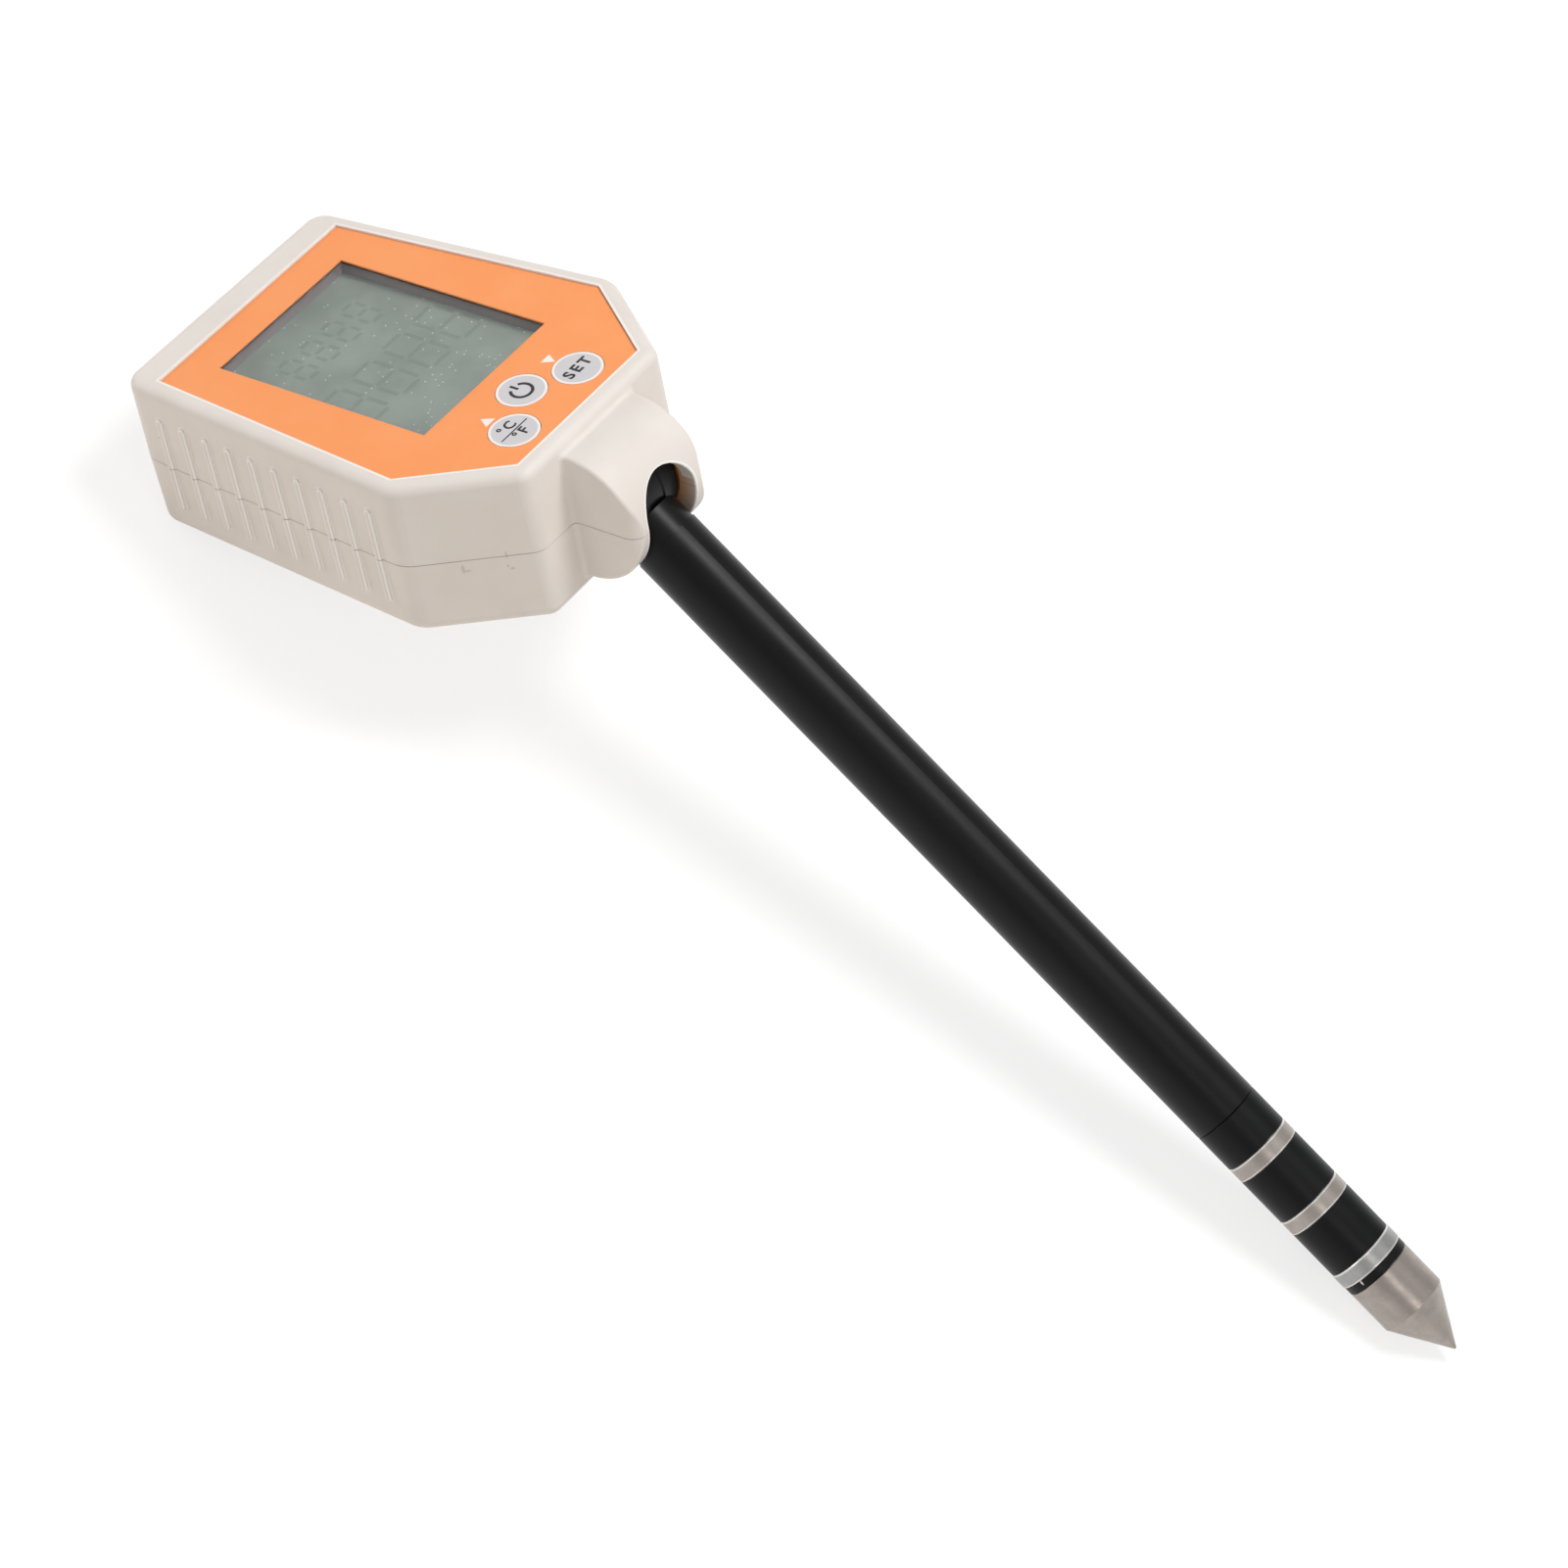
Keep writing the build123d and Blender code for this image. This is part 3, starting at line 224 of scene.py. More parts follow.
def along_axes(tree, vector):
    """A place's three numbers."""
    return put(tree, "ShaderNodeSeparateXYZ", {"Vector": vector}).outputs


def noise(tree, vector, scale, detail, roughness=0.5):
    """One Noise node's outputs."""
    look = {"Vector": vector, "Scale": scale, "Detail": detail, "Roughness": roughness}
    return put(tree, "ShaderNodeTexNoise", look).outputs


def blend(tree, share, first, second):
    """Two colours mixed by a share of the second."""
    made = put(tree, "ShaderNodeMix", {"Factor": share}, data_type="RGBA")
    for socket, colour in ((made.inputs[6], first), (made.inputs[7], second)):
        if isinstance(colour, bpy.types.NodeSocket):
            tree.links.new(colour, socket)
        else:
            socket.default_value = colour
    return made.outputs[2]


def millimetres(tree, matrix):
    """Object coordinates turned into millimetres of the head's or the probe's frame."""
    place = put(tree, "ShaderNodeTexCoord").outputs["Object"]
    origin, turn, scale = matrix.decompose()
    inputs = {"Vector": place, "Location": origin, "Rotation": turn.to_euler(), "Scale": scale}
    return put(tree, "ShaderNodeMapping", inputs, vector_type="TEXTURE").outputs["Vector"]


FLOAT = "NodeSocketFloat"
VECTOR = "NodeSocketVector"


def new_group(name, takes, gives):
    """An empty shader group with its named inputs and outputs."""
    group = bpy.data.node_groups.new(name, "ShaderNodeTree")
    for socket, kind in takes:
        group.interface.new_socket(socket, in_out="INPUT", socket_type=kind)
    for socket in gives:
        group.interface.new_socket(socket, in_out="OUTPUT", socket_type=FLOAT)
    into = group.nodes.new("NodeGroupInput").outputs
    return group, into, group.nodes.new("NodeGroupOutput").inputs


def make_mould_grain():
    """Fine spark-eroded grain, slow unevenness of tone, and a few dark specks in the plastic."""
    numbers = ("Grains per mm", "Specks per mm", "Speck size")
    takes = (("Vector", VECTOR), *((number, FLOAT) for number in numbers))
    group, into, out = new_group("mould_grain", takes, ("Height", "Tone", "Specks"))
    cells = {"Vector": into["Vector"], "Scale": into["Specks per mm"]}
    spots = put(group, "ShaderNodeTexVoronoi", cells).outputs
    chance = put(group, "ShaderNodeSeparateColor", {"Color": spots["Color"]}).outputs["Red"]
    in_reach = work_out(group, "DIVIDE", spots["Distance"], into["Speck size"])
    speck = times(group, fade(group, in_reach, 0.6, 1.0), over(group, chance, 0.86))
    grain = noise(group, into["Vector"], into["Grains per mm"], 3.0)["Fac"]
    group.links.new(grain, out["Height"])
    group.links.new(noise(group, into["Vector"], 0.07, 3.0, 0.6)["Fac"], out["Tone"])
    group.links.new(speck, out["Specks"])
    return group


def make_turning_marks():
    """Fine lines round the probe's axis, as a lathe or a polishing belt leaves them."""
    takes = (("Vector", VECTOR), ("Lines per mm", FLOAT), ("Patches per mm", FLOAT))
    group, into, out = new_group("turning_marks", takes, ("Height", "Tone"))
    across = 0.12
    stretch = {"X": across, "Y": across, "Z": into["Lines per mm"]}
    stretched = put(group, "ShaderNodeCombineXYZ", stretch).outputs[0]
    lines = noise(group, work_vectors(group, "MULTIPLY", into["Vector"], stretched)[0], 1.0, 4.0)
    patches = noise(group, into["Vector"], into["Patches per mm"], 4.0, 0.65)
    group.links.new(lines["Fac"], out["Height"])
    group.links.new(patches["Fac"], out["Tone"])
    return group


def make_scuffs():
    """Short thin scratches and rubbed places from use."""
    takes = (("Vector", VECTOR), ("Scratches per mm", FLOAT))
    group, into, out = new_group("scuffs", takes, ("Scratches", "Rubbed"))
    bend = noise(group, into["Vector"], 0.5, 2.0)["Color"]
    bent = work_vectors(group, "ADD", into["Vector"], bend)[0]
    cells = {"Vector": bent, "Scale": into["Scratches per mm"]}
    edges = put(group, "ShaderNodeTexVoronoi", cells, feature="DISTANCE_TO_EDGE").outputs
    thin = fade(group, edges["Distance"], 0.0, 0.012)
    kept = remap(group, noise(group, into["Vector"], 0.8, 2.0)["Fac"], 0.6, 0.7)
    rubbed = remap(group, noise(group, into["Vector"], 0.25, 5.0)["Fac"], 0.45, 0.75)
    group.links.new(times(group, thin, kept), out["Scratches"])
    group.links.new(rubbed, out["Rubbed"])
    return group


def make_round_print():
    """The border ring of a printed disc: everything past its radius."""
    takes = (("Vector", VECTOR), ("Centre", VECTOR), ("Ring radius", FLOAT))
    group, into, out = new_group("round_print", takes, ("Ring",))
    from_centre = work_vectors(group, "SUBTRACT", into["Vector"], into["Centre"])[0]
    flat = work_vectors(group, "MULTIPLY", from_centre, (1.0, 1.0, 0.0))[0]
    past = minus(group, work_vectors(group, "LENGTH", flat)["Value"], into["Ring radius"])
    group.links.new(remap(group, past, -0.04, 0.04), out["Ring"])
    return group


def make_label_edge():
    """How far outside the label's outline a place of the head's frame lies, in millimetres."""
    group, into, out = new_group("label_edge", (("Vector", VECTOR),), ("Past edge",))
    place = along_axes(group, into["Vector"])
    aside = no_sign(group, place["Y"])
    past = larger(group, times(group, place["X"], -1.0), minus(group, place["X"], LABEL_NEAR_X))
    for along, across, reach in LABEL_SLOPES:
        parts = times(group, place["X"], along), times(group, aside, across)
        past = larger(group, past, minus(group, work_out(group, "ADD", *parts), reach))
    group.links.new(past, out["Past edge"])
    return group


def make_dust():
    """Fine pale dust on a flat face, thicker in some places than in others."""
    takes = (("Vector", VECTOR), ("Flecks per mm", FLOAT), ("Fleck size", FLOAT))
    group, into, out = new_group("dust", takes, ("Flecks",))
    cells = {"Vector": into["Vector"], "Scale": into["Flecks per mm"]}
    spots = put(group, "ShaderNodeTexVoronoi", cells, voronoi_dimensions="2D").outputs
    chance = put(group, "ShaderNodeSeparateColor", {"Color": spots["Color"]}).outputs["Red"]
    thick = noise(group, into["Vector"], 0.09, 1.0)["Fac"]
    kept = over(group, chance, remap(group, thick, 0.35, 0.65, 0.98, 0.72))
    size = times(group, into["Fleck size"], times(group, into["Flecks per mm"], chance))
    in_reach = work_out(group, "DIVIDE", spots["Distance"], size)
    group.links.new(times(group, fade(group, in_reach, 0.6, 1.0), kept), out["Flecks"])
    return group


def make_small_mark():
    """One small mark: a soft-edged spot at a place, longer along some directions than others."""
    takes = (("Vector", VECTOR), ("Centre", VECTOR), ("Per reach", VECTOR))
    group, into, out = new_group("small_mark", takes, ("Mark",))
    off = work_vectors(group, "SUBTRACT", into["Vector"], into["Centre"])[0]
    scaled = work_vectors(group, "MULTIPLY", off, into["Per reach"])[0]
    far = work_vectors(group, "LENGTH", scaled)["Value"]
    group.links.new(fade(group, far, 0.6, 1.0), out["Mark"])
    return group


MOULD_GRAIN = make_mould_grain()
TURNING_MARKS = make_turning_marks()
SCUFFS = make_scuffs()
ROUND_PRINT = make_round_print()
LABEL_EDGE = make_label_edge()
DUST = make_dust()
SMALL_MARK = make_small_mark()

# Materials


def place_group(tree, group, vector, values):
    """A shader group placed in a material, with its values."""
    return put(tree, "ShaderNodeGroup", {"Vector": vector, **values}, node_tree=group).outputs


def grain_marks(tree, place, grains, specks=0.2):
    """Mould grain placed in a material."""
    values = {"Grains per mm": grains, "Specks per mm": specks, "Speck size": 0.05}
    return place_group(tree, MOULD_GRAIN, place, values)


def new_material(name):
    """A material with nothing but its Principled shader, and the tree it is in."""
    material = bpy.data.materials.new(name)
    material.use_nodes = True
    return material, material.node_tree, material.node_tree.nodes["Principled BSDF"]


def colour_of(material):
    """A material's tree, its colour socket and what feeds that so far."""
    tree = material.node_tree
    socket = tree.nodes["Principled BSDF"].inputs["Base Color"]
    return tree, socket, socket.links[0].from_socket


def rough_and_bumped(tree, shader, height, depth, low, high, tone):
    """Roughness between two values by tone, and a bump of a given depth in millimetres."""
    tree.links.new(remap(tree, tone, 0.3, 0.7, low, high), shader.inputs["Roughness"])
    bump = put(tree, "ShaderNodeBump", {"Height": height, "Distance": depth * MM, "Strength": 1.0})
    tree.links.new(bump.outputs["Normal"], shader.inputs["Normal"])


def moulded(name, matrix, colour, tone, rough, grain=6.0, depth=0.004, specks=0.12,
            speck=(70, 60, 50), scuff=0.0, shine=0.5):
    """Moulded plastic, printed film or rubber: grain, uneven tone, specks and light scuffs."""
    material, tree, shader = new_material(name)
    place = millimetres(tree, matrix)
    marks = grain_marks(tree, place, grain, specks)
    worn = place_group(tree, SCUFFS, place, {"Scratches per mm": 0.11})
    base = blend(tree, remap(tree, marks["Tone"], 0.3, 0.7), paint(*colour), paint(*tone))
    base = blend(tree, times(tree, marks["Specks"], 0.75), base, paint(*speck))
    base = blend(tree, times(tree, worn["Scratches"], scuff), base, paint(*tone))
    tree.links.new(base, shader.inputs["Base Color"])
    low, high = rough - 0.05, rough + 0.05
    rough_and_bumped(tree, shader, marks["Height"], depth, low, high, marks["Tone"])
    shader.inputs["Specular IOR Level"].default_value = shine
    return material


def turned(name, colour, tone, rough, lines, depth, rings=False):
    """Turned or ground metal on the probe: lines round its axis and patches of tone."""
    material, tree, shader = new_material(name)
    place = millimetres(tree, PROBE)
    pattern = {"Lines per mm": lines, "Patches per mm": 0.35}
    marks = place_group(tree, TURNING_MARKS, place, pattern)
    worn = place_group(tree, SCUFFS, place, {"Scratches per mm": 0.3})
    base = blend(tree, remap(tree, marks["Tone"], 0.35, 0.68), paint(*colour), paint(*tone))
    base = blend(tree, times(tree, worn["Scratches"], 0.5), base, paint(232, 226, 220))
    # Painted highlights along each ring's edges
    if rings:
        along = along_axes(tree, place)["Z"]
        off = work_out(tree, "PINGPONG", minus(tree, along, RING_1_MIDDLE), RING_PITCH / 2)
        corner = remap(tree, off, RING_HALF - 0.4, RING_HALF - 0.2, 0.0, 0.8)
        base = blend(tree, corner, base, paint(240, 236, 232))
    tree.links.new(base, shader.inputs["Base Color"])
    rough_and_bumped(tree, shader, marks["Height"], depth, rough, rough + 0.1, marks["Tone"])
    shader.inputs["Metallic"].default_value = 0.75
    return material


def sheet_metal(name, colour, tone, rough):
    """Plated or plain sheet metal and screws inside the head."""
    material = moulded(name, HEAD, colour, tone, rough, grain=14.0, depth=0.003, specks=0.3)
    material.node_tree.nodes["Principled BSDF"].inputs["Metallic"].default_value = 1.0
    return material


def make_key_print(key):
    """A key's pale printed disc with its white border ring."""
    material, tree, shader = new_material(f"key_{key}_print")
    place = millimetres(tree, HEAD)
    marks = grain_marks(tree, place, 7.0)
    circle = {"Centre": (*KEY_PLACES[key], 0.0), "Ring radius": KEY_R - KEY_RING}
    disc = place_group(tree, ROUND_PRINT, place, circle)
    film = blend(tree, marks["Tone"], paint(206, 204, 207), paint(216, 213, 216))
    base = blend(tree, disc["Ring"], film, paint(248, 243, 240))
    tree.links.new(base, shader.inputs["Base Color"])
    rough_and_bumped(tree, shader, marks["Height"], 0.003, 0.42, 0.5, marks["Tone"])
    return material


def make_window_glass():
    """Clear acrylic that lets lamp light through to the display, faintly scuffed."""
    material, tree, shader = new_material("window_acrylic")
    worn = place_group(tree, SCUFFS, millimetres(tree, HEAD), {"Scratches per mm": 0.16})
    haze = work_out(tree, "ADD", times(tree, worn["Rubbed"], 0.04), 0.03)
    tree.links.new(haze, shader.inputs["Roughness"])
    shader.inputs["Base Color"].default_value = paint(250, 252, 251)
    shader.inputs["Transmission Weight"].default_value = 1.0
    shader.inputs["IOR"].default_value = 1.35
    clear = put(tree, "ShaderNodeBsdfTransparent", {"Color": paint(250, 252, 251)}).outputs[0]
    lamps = put(tree, "ShaderNodeLightPath").outputs["Is Shadow Ray"]
    pane = put(tree, "ShaderNodeMixShader", {0: lamps, 1: shader.outputs[0], 2: clear})
    tree.links.new(pane.outputs[0], tree.nodes["Material Output"].inputs["Surface"])
    return material


def make_display_glass():
    """The display: grey-green, slowly uneven, with dust specks under the window."""
    material, tree, shader = new_material("display_glass")
    place = millimetres(tree, HEAD)
    marks = grain_marks(tree, place, 5.0)
    dust = place_group(tree, DUST, place, {"Flecks per mm": 0.7, "Fleck size": 0.17})
    tone = remap(tree, marks["Tone"], 0.38, 0.62)
    base = blend(tree, tone, paint(114, 121, 115), paint(128, 135, 129))
    base = blend(tree, times(tree, dust["Flecks"], 0.75), base, paint(214, 220, 214))
    tree.links.new(base, shader.inputs["Base Color"])
    rough_and_bumped(tree, shader, marks["Height"], 0.0003, 0.3, 0.4, marks["Tone"])
    shader.inputs["Specular IOR Level"].default_value = 0.2
    return material


def make_contact_strip():
    """Striped contact rubber: thin dark conducting bars across a pale strip."""
    material, tree, shader = new_material("contact_rubber")
    bars = {"Vector": millimetres(tree, HEAD), "Scale": 1.6}
    stripes = put(tree, "ShaderNodeTexWave", bars, bands_direction="X").outputs["Fac"]
    base = blend(tree, remap(tree, stripes, 0.4, 0.6), paint(40, 34, 36), paint(196, 132, 140))
    tree.links.new(base, shader.inputs["Base Color"])
    rough_and_bumped(tree, shader, stripes, 0.01, 0.6, 0.75, stripes)
    return material


def make_board():
    """Green solder mask over copper tracks, with tinned pads."""
    material, tree, shader = new_material("circuit_board")
    place = millimetres(tree, HEAD)
    cells = {"Vector": place, "Scale": 0.28, "Randomness": 0.75}
    tracks = put(tree, "ShaderNodeTexVoronoi", cells, distance="CHEBYCHEV")
    lines = work_out(tree, "PINGPONG", tracks.outputs["Distance"], 0.12)
    copper = remap(tree, lines, 0.05, 0.06)
    dots = put(tree, "ShaderNodeTexVoronoi", {"Vector": place, "Scale": 0.42})
    pads = fade(tree, dots.outputs["Distance"], 0.16, 0.19)
    base = blend(tree, copper, paint(16, 74, 40), paint(28, 104, 56))
    base = blend(tree, pads, base, paint(196, 196, 190))
    tree.links.new(base, shader.inputs["Base Color"])
    tree.links.new(pads, shader.inputs["Metallic"])
    raised = work_out(tree, "ADD", copper, pads)
    rough_and_bumped(tree, shader, raised, 0.03, 0.3, 0.42, copper)
    return material


def make_cell_wrap():
    """A plain wrapped cell: dark film with a band, and bare metal at both ends."""
    material, tree, shader = new_material("cell_wrap")
    place = millimetres(tree, HEAD)
    low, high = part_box("battery_cells")
    middle = sum((HEAD.inverted() @ corner).x for corner in (low, high)) / 2
    wrapped = CELL_LENGTH / 2 - 1.2
    off = off_from(tree, along_axes(tree, place)["X"], middle)
    metal = remap(tree, off, wrapped, wrapped + 0.1)
    band = remap(tree, off, wrapped - 7.0, wrapped - 6.9)
    marks = grain_marks(tree, place, 9.0)
    base = blend(tree, band, paint(52, 58, 72), paint(176, 178, 180))
    base = blend(tree, metal, base, paint(186, 184, 180))
    tree.links.new(base, shader.inputs["Base Color"])
    tree.links.new(metal, shader.inputs["Metallic"])
    rough_and_bumped(tree, shader, marks["Height"], 0.003, 0.28, 0.38, marks["Tone"])
    return material


# Small scuffs on the near end wall, under the parting line: each one's place, and one over its
# reach in each direction
HOUSING_MARKS = (
    ((61.0, -25.3, -16.9), (2.6, 2.6, 0.9)),
    ((61.6, -24.9, -17.3), (1.5, 1.5, 4.0)),
    ((67.0, -21.1, -14.9), (4.0, 4.0, 1.1)),
    ((67.4, -20.8, -17.8), (2.2, 2.2, 3.0)),
    ((66.9, -21.2, -17.2), (4.0, 4.0, 2.4)),
)


def from_pivot(tree, at):
    """A place's distances ahead of the hinge axis and above it, and its distance from it."""
    ahead = minus(tree, at["X"], PIVOT_IN_HEAD.x)
    above = minus(tree, at["Z"], PIVOT_IN_HEAD.z)
    return ahead, above, length_of(tree, ahead, above)


def painted_slot_shade(tree, at):
    """Painted warm shade on the inner faces of the hinge slot, full up to a radius and fading outwards."""
    radius = from_pivot(tree, at)[2]
    slot_shade = remap(tree, radius, SLOT_SHADE_FULL_R, BARREL_R, 1.0, 0.3)
    inside = under(tree, radius, BARREL_R - 0.3)
    off_wall = off_from(tree, no_sign(tree, at["Y"]), SLOT_HALF)
    return times(tree, slot_shade, times(tree, inside, under(tree, off_wall, 0.02)))


def painted_rim_highlight(tree, at, place):
    """A painted highlight line along the housing's rim round the label."""
    past = place_group(tree, LABEL_EDGE, place, {})["Past edge"]
    line = fade(tree, off_from(tree, past, RIM_LINE), 0.15, 0.3, 0.6)
    return times(tree, over(tree, at["Z"], LABEL_TOP + 0.05), line)


def painted_mouth_highlight(tree, at):
    """A painted highlight along the slot's rounded mouth: one end faces up, one where the probe folds."""
    ahead, above, radius = from_pivot(tree, at)
    along, out_of_face = SLOT_FOLDED_WAY
    parts = times(tree, ahead, along), times(tree, above, out_of_face)
    rise = larger(tree, 0.0, larger(tree, above, work_out(tree, "ADD", *parts)))
    from_slot = off_from(tree, length_of(tree, at["Y"], rise), SLOT_HALF + SLOT_ROUNDING)
    outside = over(tree, radius, BARREL_R - 0.45)
    return times(tree, outside, fade(tree, from_slot, 0.18, 0.26))


def painted_rib_highlights(tree, at):
    """A painted highlight line on each rib's flank, and a fainter one at its foot."""
    from_rib = work_out(tree, "PINGPONG", minus(tree, at["X"], RIB_FIRST_X), RIB_PITCH / 2)
    past_end = minus(tree, off_from(tree, at["Z"], RIB_MIDDLE_Z), RIB_HALF - RIB_WIDTH / 2)
    from_line = length_of(tree, from_rib, larger(tree, 0.0, past_end))
    flank = fade(tree, off_from(tree, from_line, RIB_FLANK), 0.1, 0.16)
    foot = fade(tree, off_from(tree, from_line, RIB_FOOT), 0.06, 0.12, 0.6)
    on_side = over(tree, no_sign(tree, at["Y"]), SIDE_FROM_Y)
    by_ribs = under(tree, off_from(tree, at["X"], RIB_ROW_X), RIB_ROW_HALF)
    return times(tree, times(tree, on_side, by_ribs), larger(tree, flank, foot))


def make_ivory_housing():
    """The ivory plastic of both shells, with the dark hairline of the joint between them, painted highlights on
    edges and painted shade in the hinge slot.
    """
    ivory, darker_ivory = (235, 228, 222), (230, 222, 214)
    material = moulded("ivory_housing", HEAD, ivory, darker_ivory, 0.5, grain=5.0, depth=0.006,
                       scuff=0.35)
    tree, socket, plastic = colour_of(material)
    place = millimetres(tree, HEAD)
    at = along_axes(tree, place)
    # Painted highlights along the slot's mouth, on the ribs and on the rim round the label
    edges = larger(tree, painted_mouth_highlight(tree, at), painted_rib_highlights(tree, at))
    edges = larger(tree, painted_rim_highlight(tree, at, place), edges)
    # Painted warm shade on the slot's inner walls
    plastic = blend(tree, painted_slot_shade(tree, at), plastic, paint(206, 156, 112))
    plastic = blend(tree, edges, plastic, paint(255, 253, 250))
    for centre, per_reach in HOUSING_MARKS:
        spot = {"Centre": centre, "Per reach": per_reach}
        mark = place_group(tree, SMALL_MARK, place, spot)["Mark"]
        plastic = blend(tree, times(tree, mark, 0.32), plastic, paint(160, 146, 134))
    hairline = fade(tree, off_from(tree, at["Z"], PARTING_Z), 0.05, 0.12, 0.42)
    tree.links.new(blend(tree, hairline, plastic, paint(112, 98, 88)), socket)
    return material


def make_spacer_plastic():
    """The black insulating plastic, with a small bright mark on the last spacer."""
    material = moulded("insulator_black", PROBE, (8, 9, 10), (7, 8, 9), 0.38, grain=7.0,
                       depth=0.003, specks=0.14, speck=(120, 118, 114), scuff=0.3, shine=0.2)
    tree, socket, plastic = colour_of(material)
    spacer_mark = {"Centre": (-2.0, -5.6, 175.6), "Per reach": (4.5, 4.5, 1.4)}
    bright = place_group(tree, SMALL_MARK, millimetres(tree, PROBE), spacer_mark)["Mark"]
    tree.links.new(blend(tree, bright, plastic, paint(226, 222, 218)), socket)
    return material


def make_label_film():
    """The orange printed film, with painted shade along its cut edge."""
    material = moulded("orange_overlay", HEAD, (255, 162, 97), (255, 157, 91), 0.42, grain=8.0,
                       depth=0.003, specks=0.1, speck=(255, 214, 180))
    tree, socket, film = colour_of(material)
    past = place_group(tree, LABEL_EDGE, millimetres(tree, HEAD), {})["Past edge"]
    # Painted shade just inside the label's cut edge
    edge = remap(tree, past, -0.3, -0.1, 0.0, 0.2)
    tree.links.new(blend(tree, edge, film, paint(186, 104, 62)), socket)
    return material


def make_tube_plastic():
    """The probe tube's satin black plastic."""
    return moulded("tube_satin_black", PROBE, (6, 6, 7), (5, 5, 6), 0.36, grain=7.0, depth=0.002,
                   specks=0.09, speck=(170, 168, 165), scuff=0.4, shine=0.23)


def make_hinge_plastic():
    """The black plastic of the knuckle."""
    return moulded("hinge_black", HEAD, (12, 12, 13), (9, 9, 10), 0.34, speck=(110, 108, 104),
                   shine=0.22)


def make_chip_plastic():
    """The black bodies of chips and switches."""
    return moulded("component_black", HEAD, (34, 34, 36), (26, 26, 28), 0.45, grain=10.0,
                   speck=(150, 150, 150))


def make_ring_metal(name, colour, tone, lines=9.0):
    """An electrode ring's plated metal with painted highlights along its edges."""
    return turned(name, colour, tone, 0.29, lines, 0.0012, rings=True)


MATERIALS = {
    "housing": make_ivory_housing(),
    "overlay": make_label_film(),
    "lens": make_window_glass(),
    "gasket": moulded("display_surround", HEAD, (124, 114, 116), (108, 100, 102), 0.6, grain=5.0),
    "display": make_display_glass(),
    "elastomer": make_contact_strip(),
    "circuit_board": make_board(),
    "component": make_chip_plastic(),
    "screw_steel": sheet_metal("zinc_screws", (188, 188, 186), (166, 166, 166), 0.32),
    "cell": make_cell_wrap(),
    "contact_steel": sheet_metal("contact_steel", (198, 196, 190), (178, 176, 172), 0.26),
    "wire_red": moulded("red_wire", HEAD, (168, 28, 24), (146, 22, 20), 0.5),
    "plug": moulded("plug_nylon", HEAD, (226, 220, 202), (214, 208, 190), 0.45),
    "lead": moulded("lead_jacket", HEAD, (40, 40, 42), (30, 30, 32), 0.5, grain=4.0),
    "hinge_black": make_hinge_plastic(),
    "washer_brass": sheet_metal("washer_brass", (150, 106, 68), (128, 88, 54), 0.4),
    "tube_black": make_tube_plastic(),
    "insulator": make_spacer_plastic(),
    "ring_nickel": make_ring_metal("ring_nickel", (172, 164, 158), (158, 150, 144)),
    "ring_zinc": make_ring_metal("ring_zinc", (168, 168, 166), (154, 154, 153), lines=6.0),
    "tip_steel": turned("tip_steel", (170, 162, 155), (156, 147, 141), 0.25, 7.0, 0.0016),
    "core": moulded("core_plastic", PROBE, (182, 172, 158), (170, 160, 146), 0.5),
    "bead": moulded("potting_bead", PROBE, (60, 52, 44), (44, 38, 34), 0.35),
}
INK_BLACK = moulded("ink_black", HEAD, (34, 32, 34), (46, 44, 46), 0.5, grain=9.0, depth=0.002)
INK_WHITE = moulded("ink_white", HEAD, (252, 246, 240), (250, 240, 232), 0.5, grain=9.0,
                    depth=0.002)
SEGMENT_INK = moulded("segment_ink", HEAD, (103, 111, 105), (117, 124, 117), 0.35, grain=5.0,
                      depth=0.0003, shine=0.2)

for entry in frame["record"]["subparts"]:
    node = frame["nodes"][entry["node"]]
    slot = entry["material_slot"]
    if slot == "key":
        material = make_key_print(entry["node"].removeprefix("key_"))
    else:
        material = MATERIALS[slot]
    node.data.materials.clear()
    node.data.materials.append(material)

# New pieces


def to_mesh(work, name):
    """The finished bmesh as a mesh."""
    mesh = bpy.data.meshes.new(name)
    work.to_mesh(mesh)
    work.free()
    return mesh


def finish_piece(name, mesh, body, material, matrix=HEAD):
    """A new piece whose place is in its mesh, riding on a body."""
    mesh.transform(matrix)
    piece = bpy.data.objects.new(name, mesh)
    bpy.context.scene.collection.objects.link(piece)
    mesh.materials.append(material)
    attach(piece, body)
    return piece


def raise_ink(work):
    """Flat printed faces given the thickness of the ink."""
    faces = bmesh.ops.extrude_face_region(work, geom=work.faces[:])["geom"]
    raised = [part for part in faces if isinstance(part, bmesh.types.BMVert)]
    bmesh.ops.translate(work, verts=raised, vec=(0, 0, INK_T))
    bmesh.ops.recalc_face_normals(work, faces=work.faces[:])


def new_point(work, x, y, z=0.0):
    """One vertex."""
    return bmesh.ops.create_vert(work, co=(x, y, z))["vert"][0]


def add_bar(work, length, width, x=0.0, y=0.0):
    """A flat bar of ink, its middle at a place of the drawing."""
    spot = Matrix.Translation((x, y, 0)) @ Matrix.Diagonal((length / 2, width / 2, 1, 1))
    bmesh.ops.create_grid(work, x_segments=1, y_segments=1, size=1.0, matrix=spot)


def draw_power_sign():
    """An open ring with a bar in its gap."""
    work = bmesh.new()
    ring_r, stroke, gap = 1.8, 0.56, radians(64)
    bar_l, bar_middle = 1.7, 1.55
    start = Matrix.Rotation(pi / 2 + gap / 2, 4, "Z")
    radii = ring_r - stroke / 2, ring_r + stroke / 2
    ends = [new_point(work, *(start @ Vector((radius, 0, 0)))) for radius in radii]
    edge = work.edges.new(ends)
    bmesh.ops.spin(work, geom=[*ends, edge], cent=(0, 0, 0), axis=(0, 0, 1), angle=2 * pi - gap,
                   steps=40, use_merge=False)
    add_bar(work, stroke * 0.9, bar_l, 0.0, bar_middle)
    raise_ink(work)
    return to_mesh(work, "power_sign")


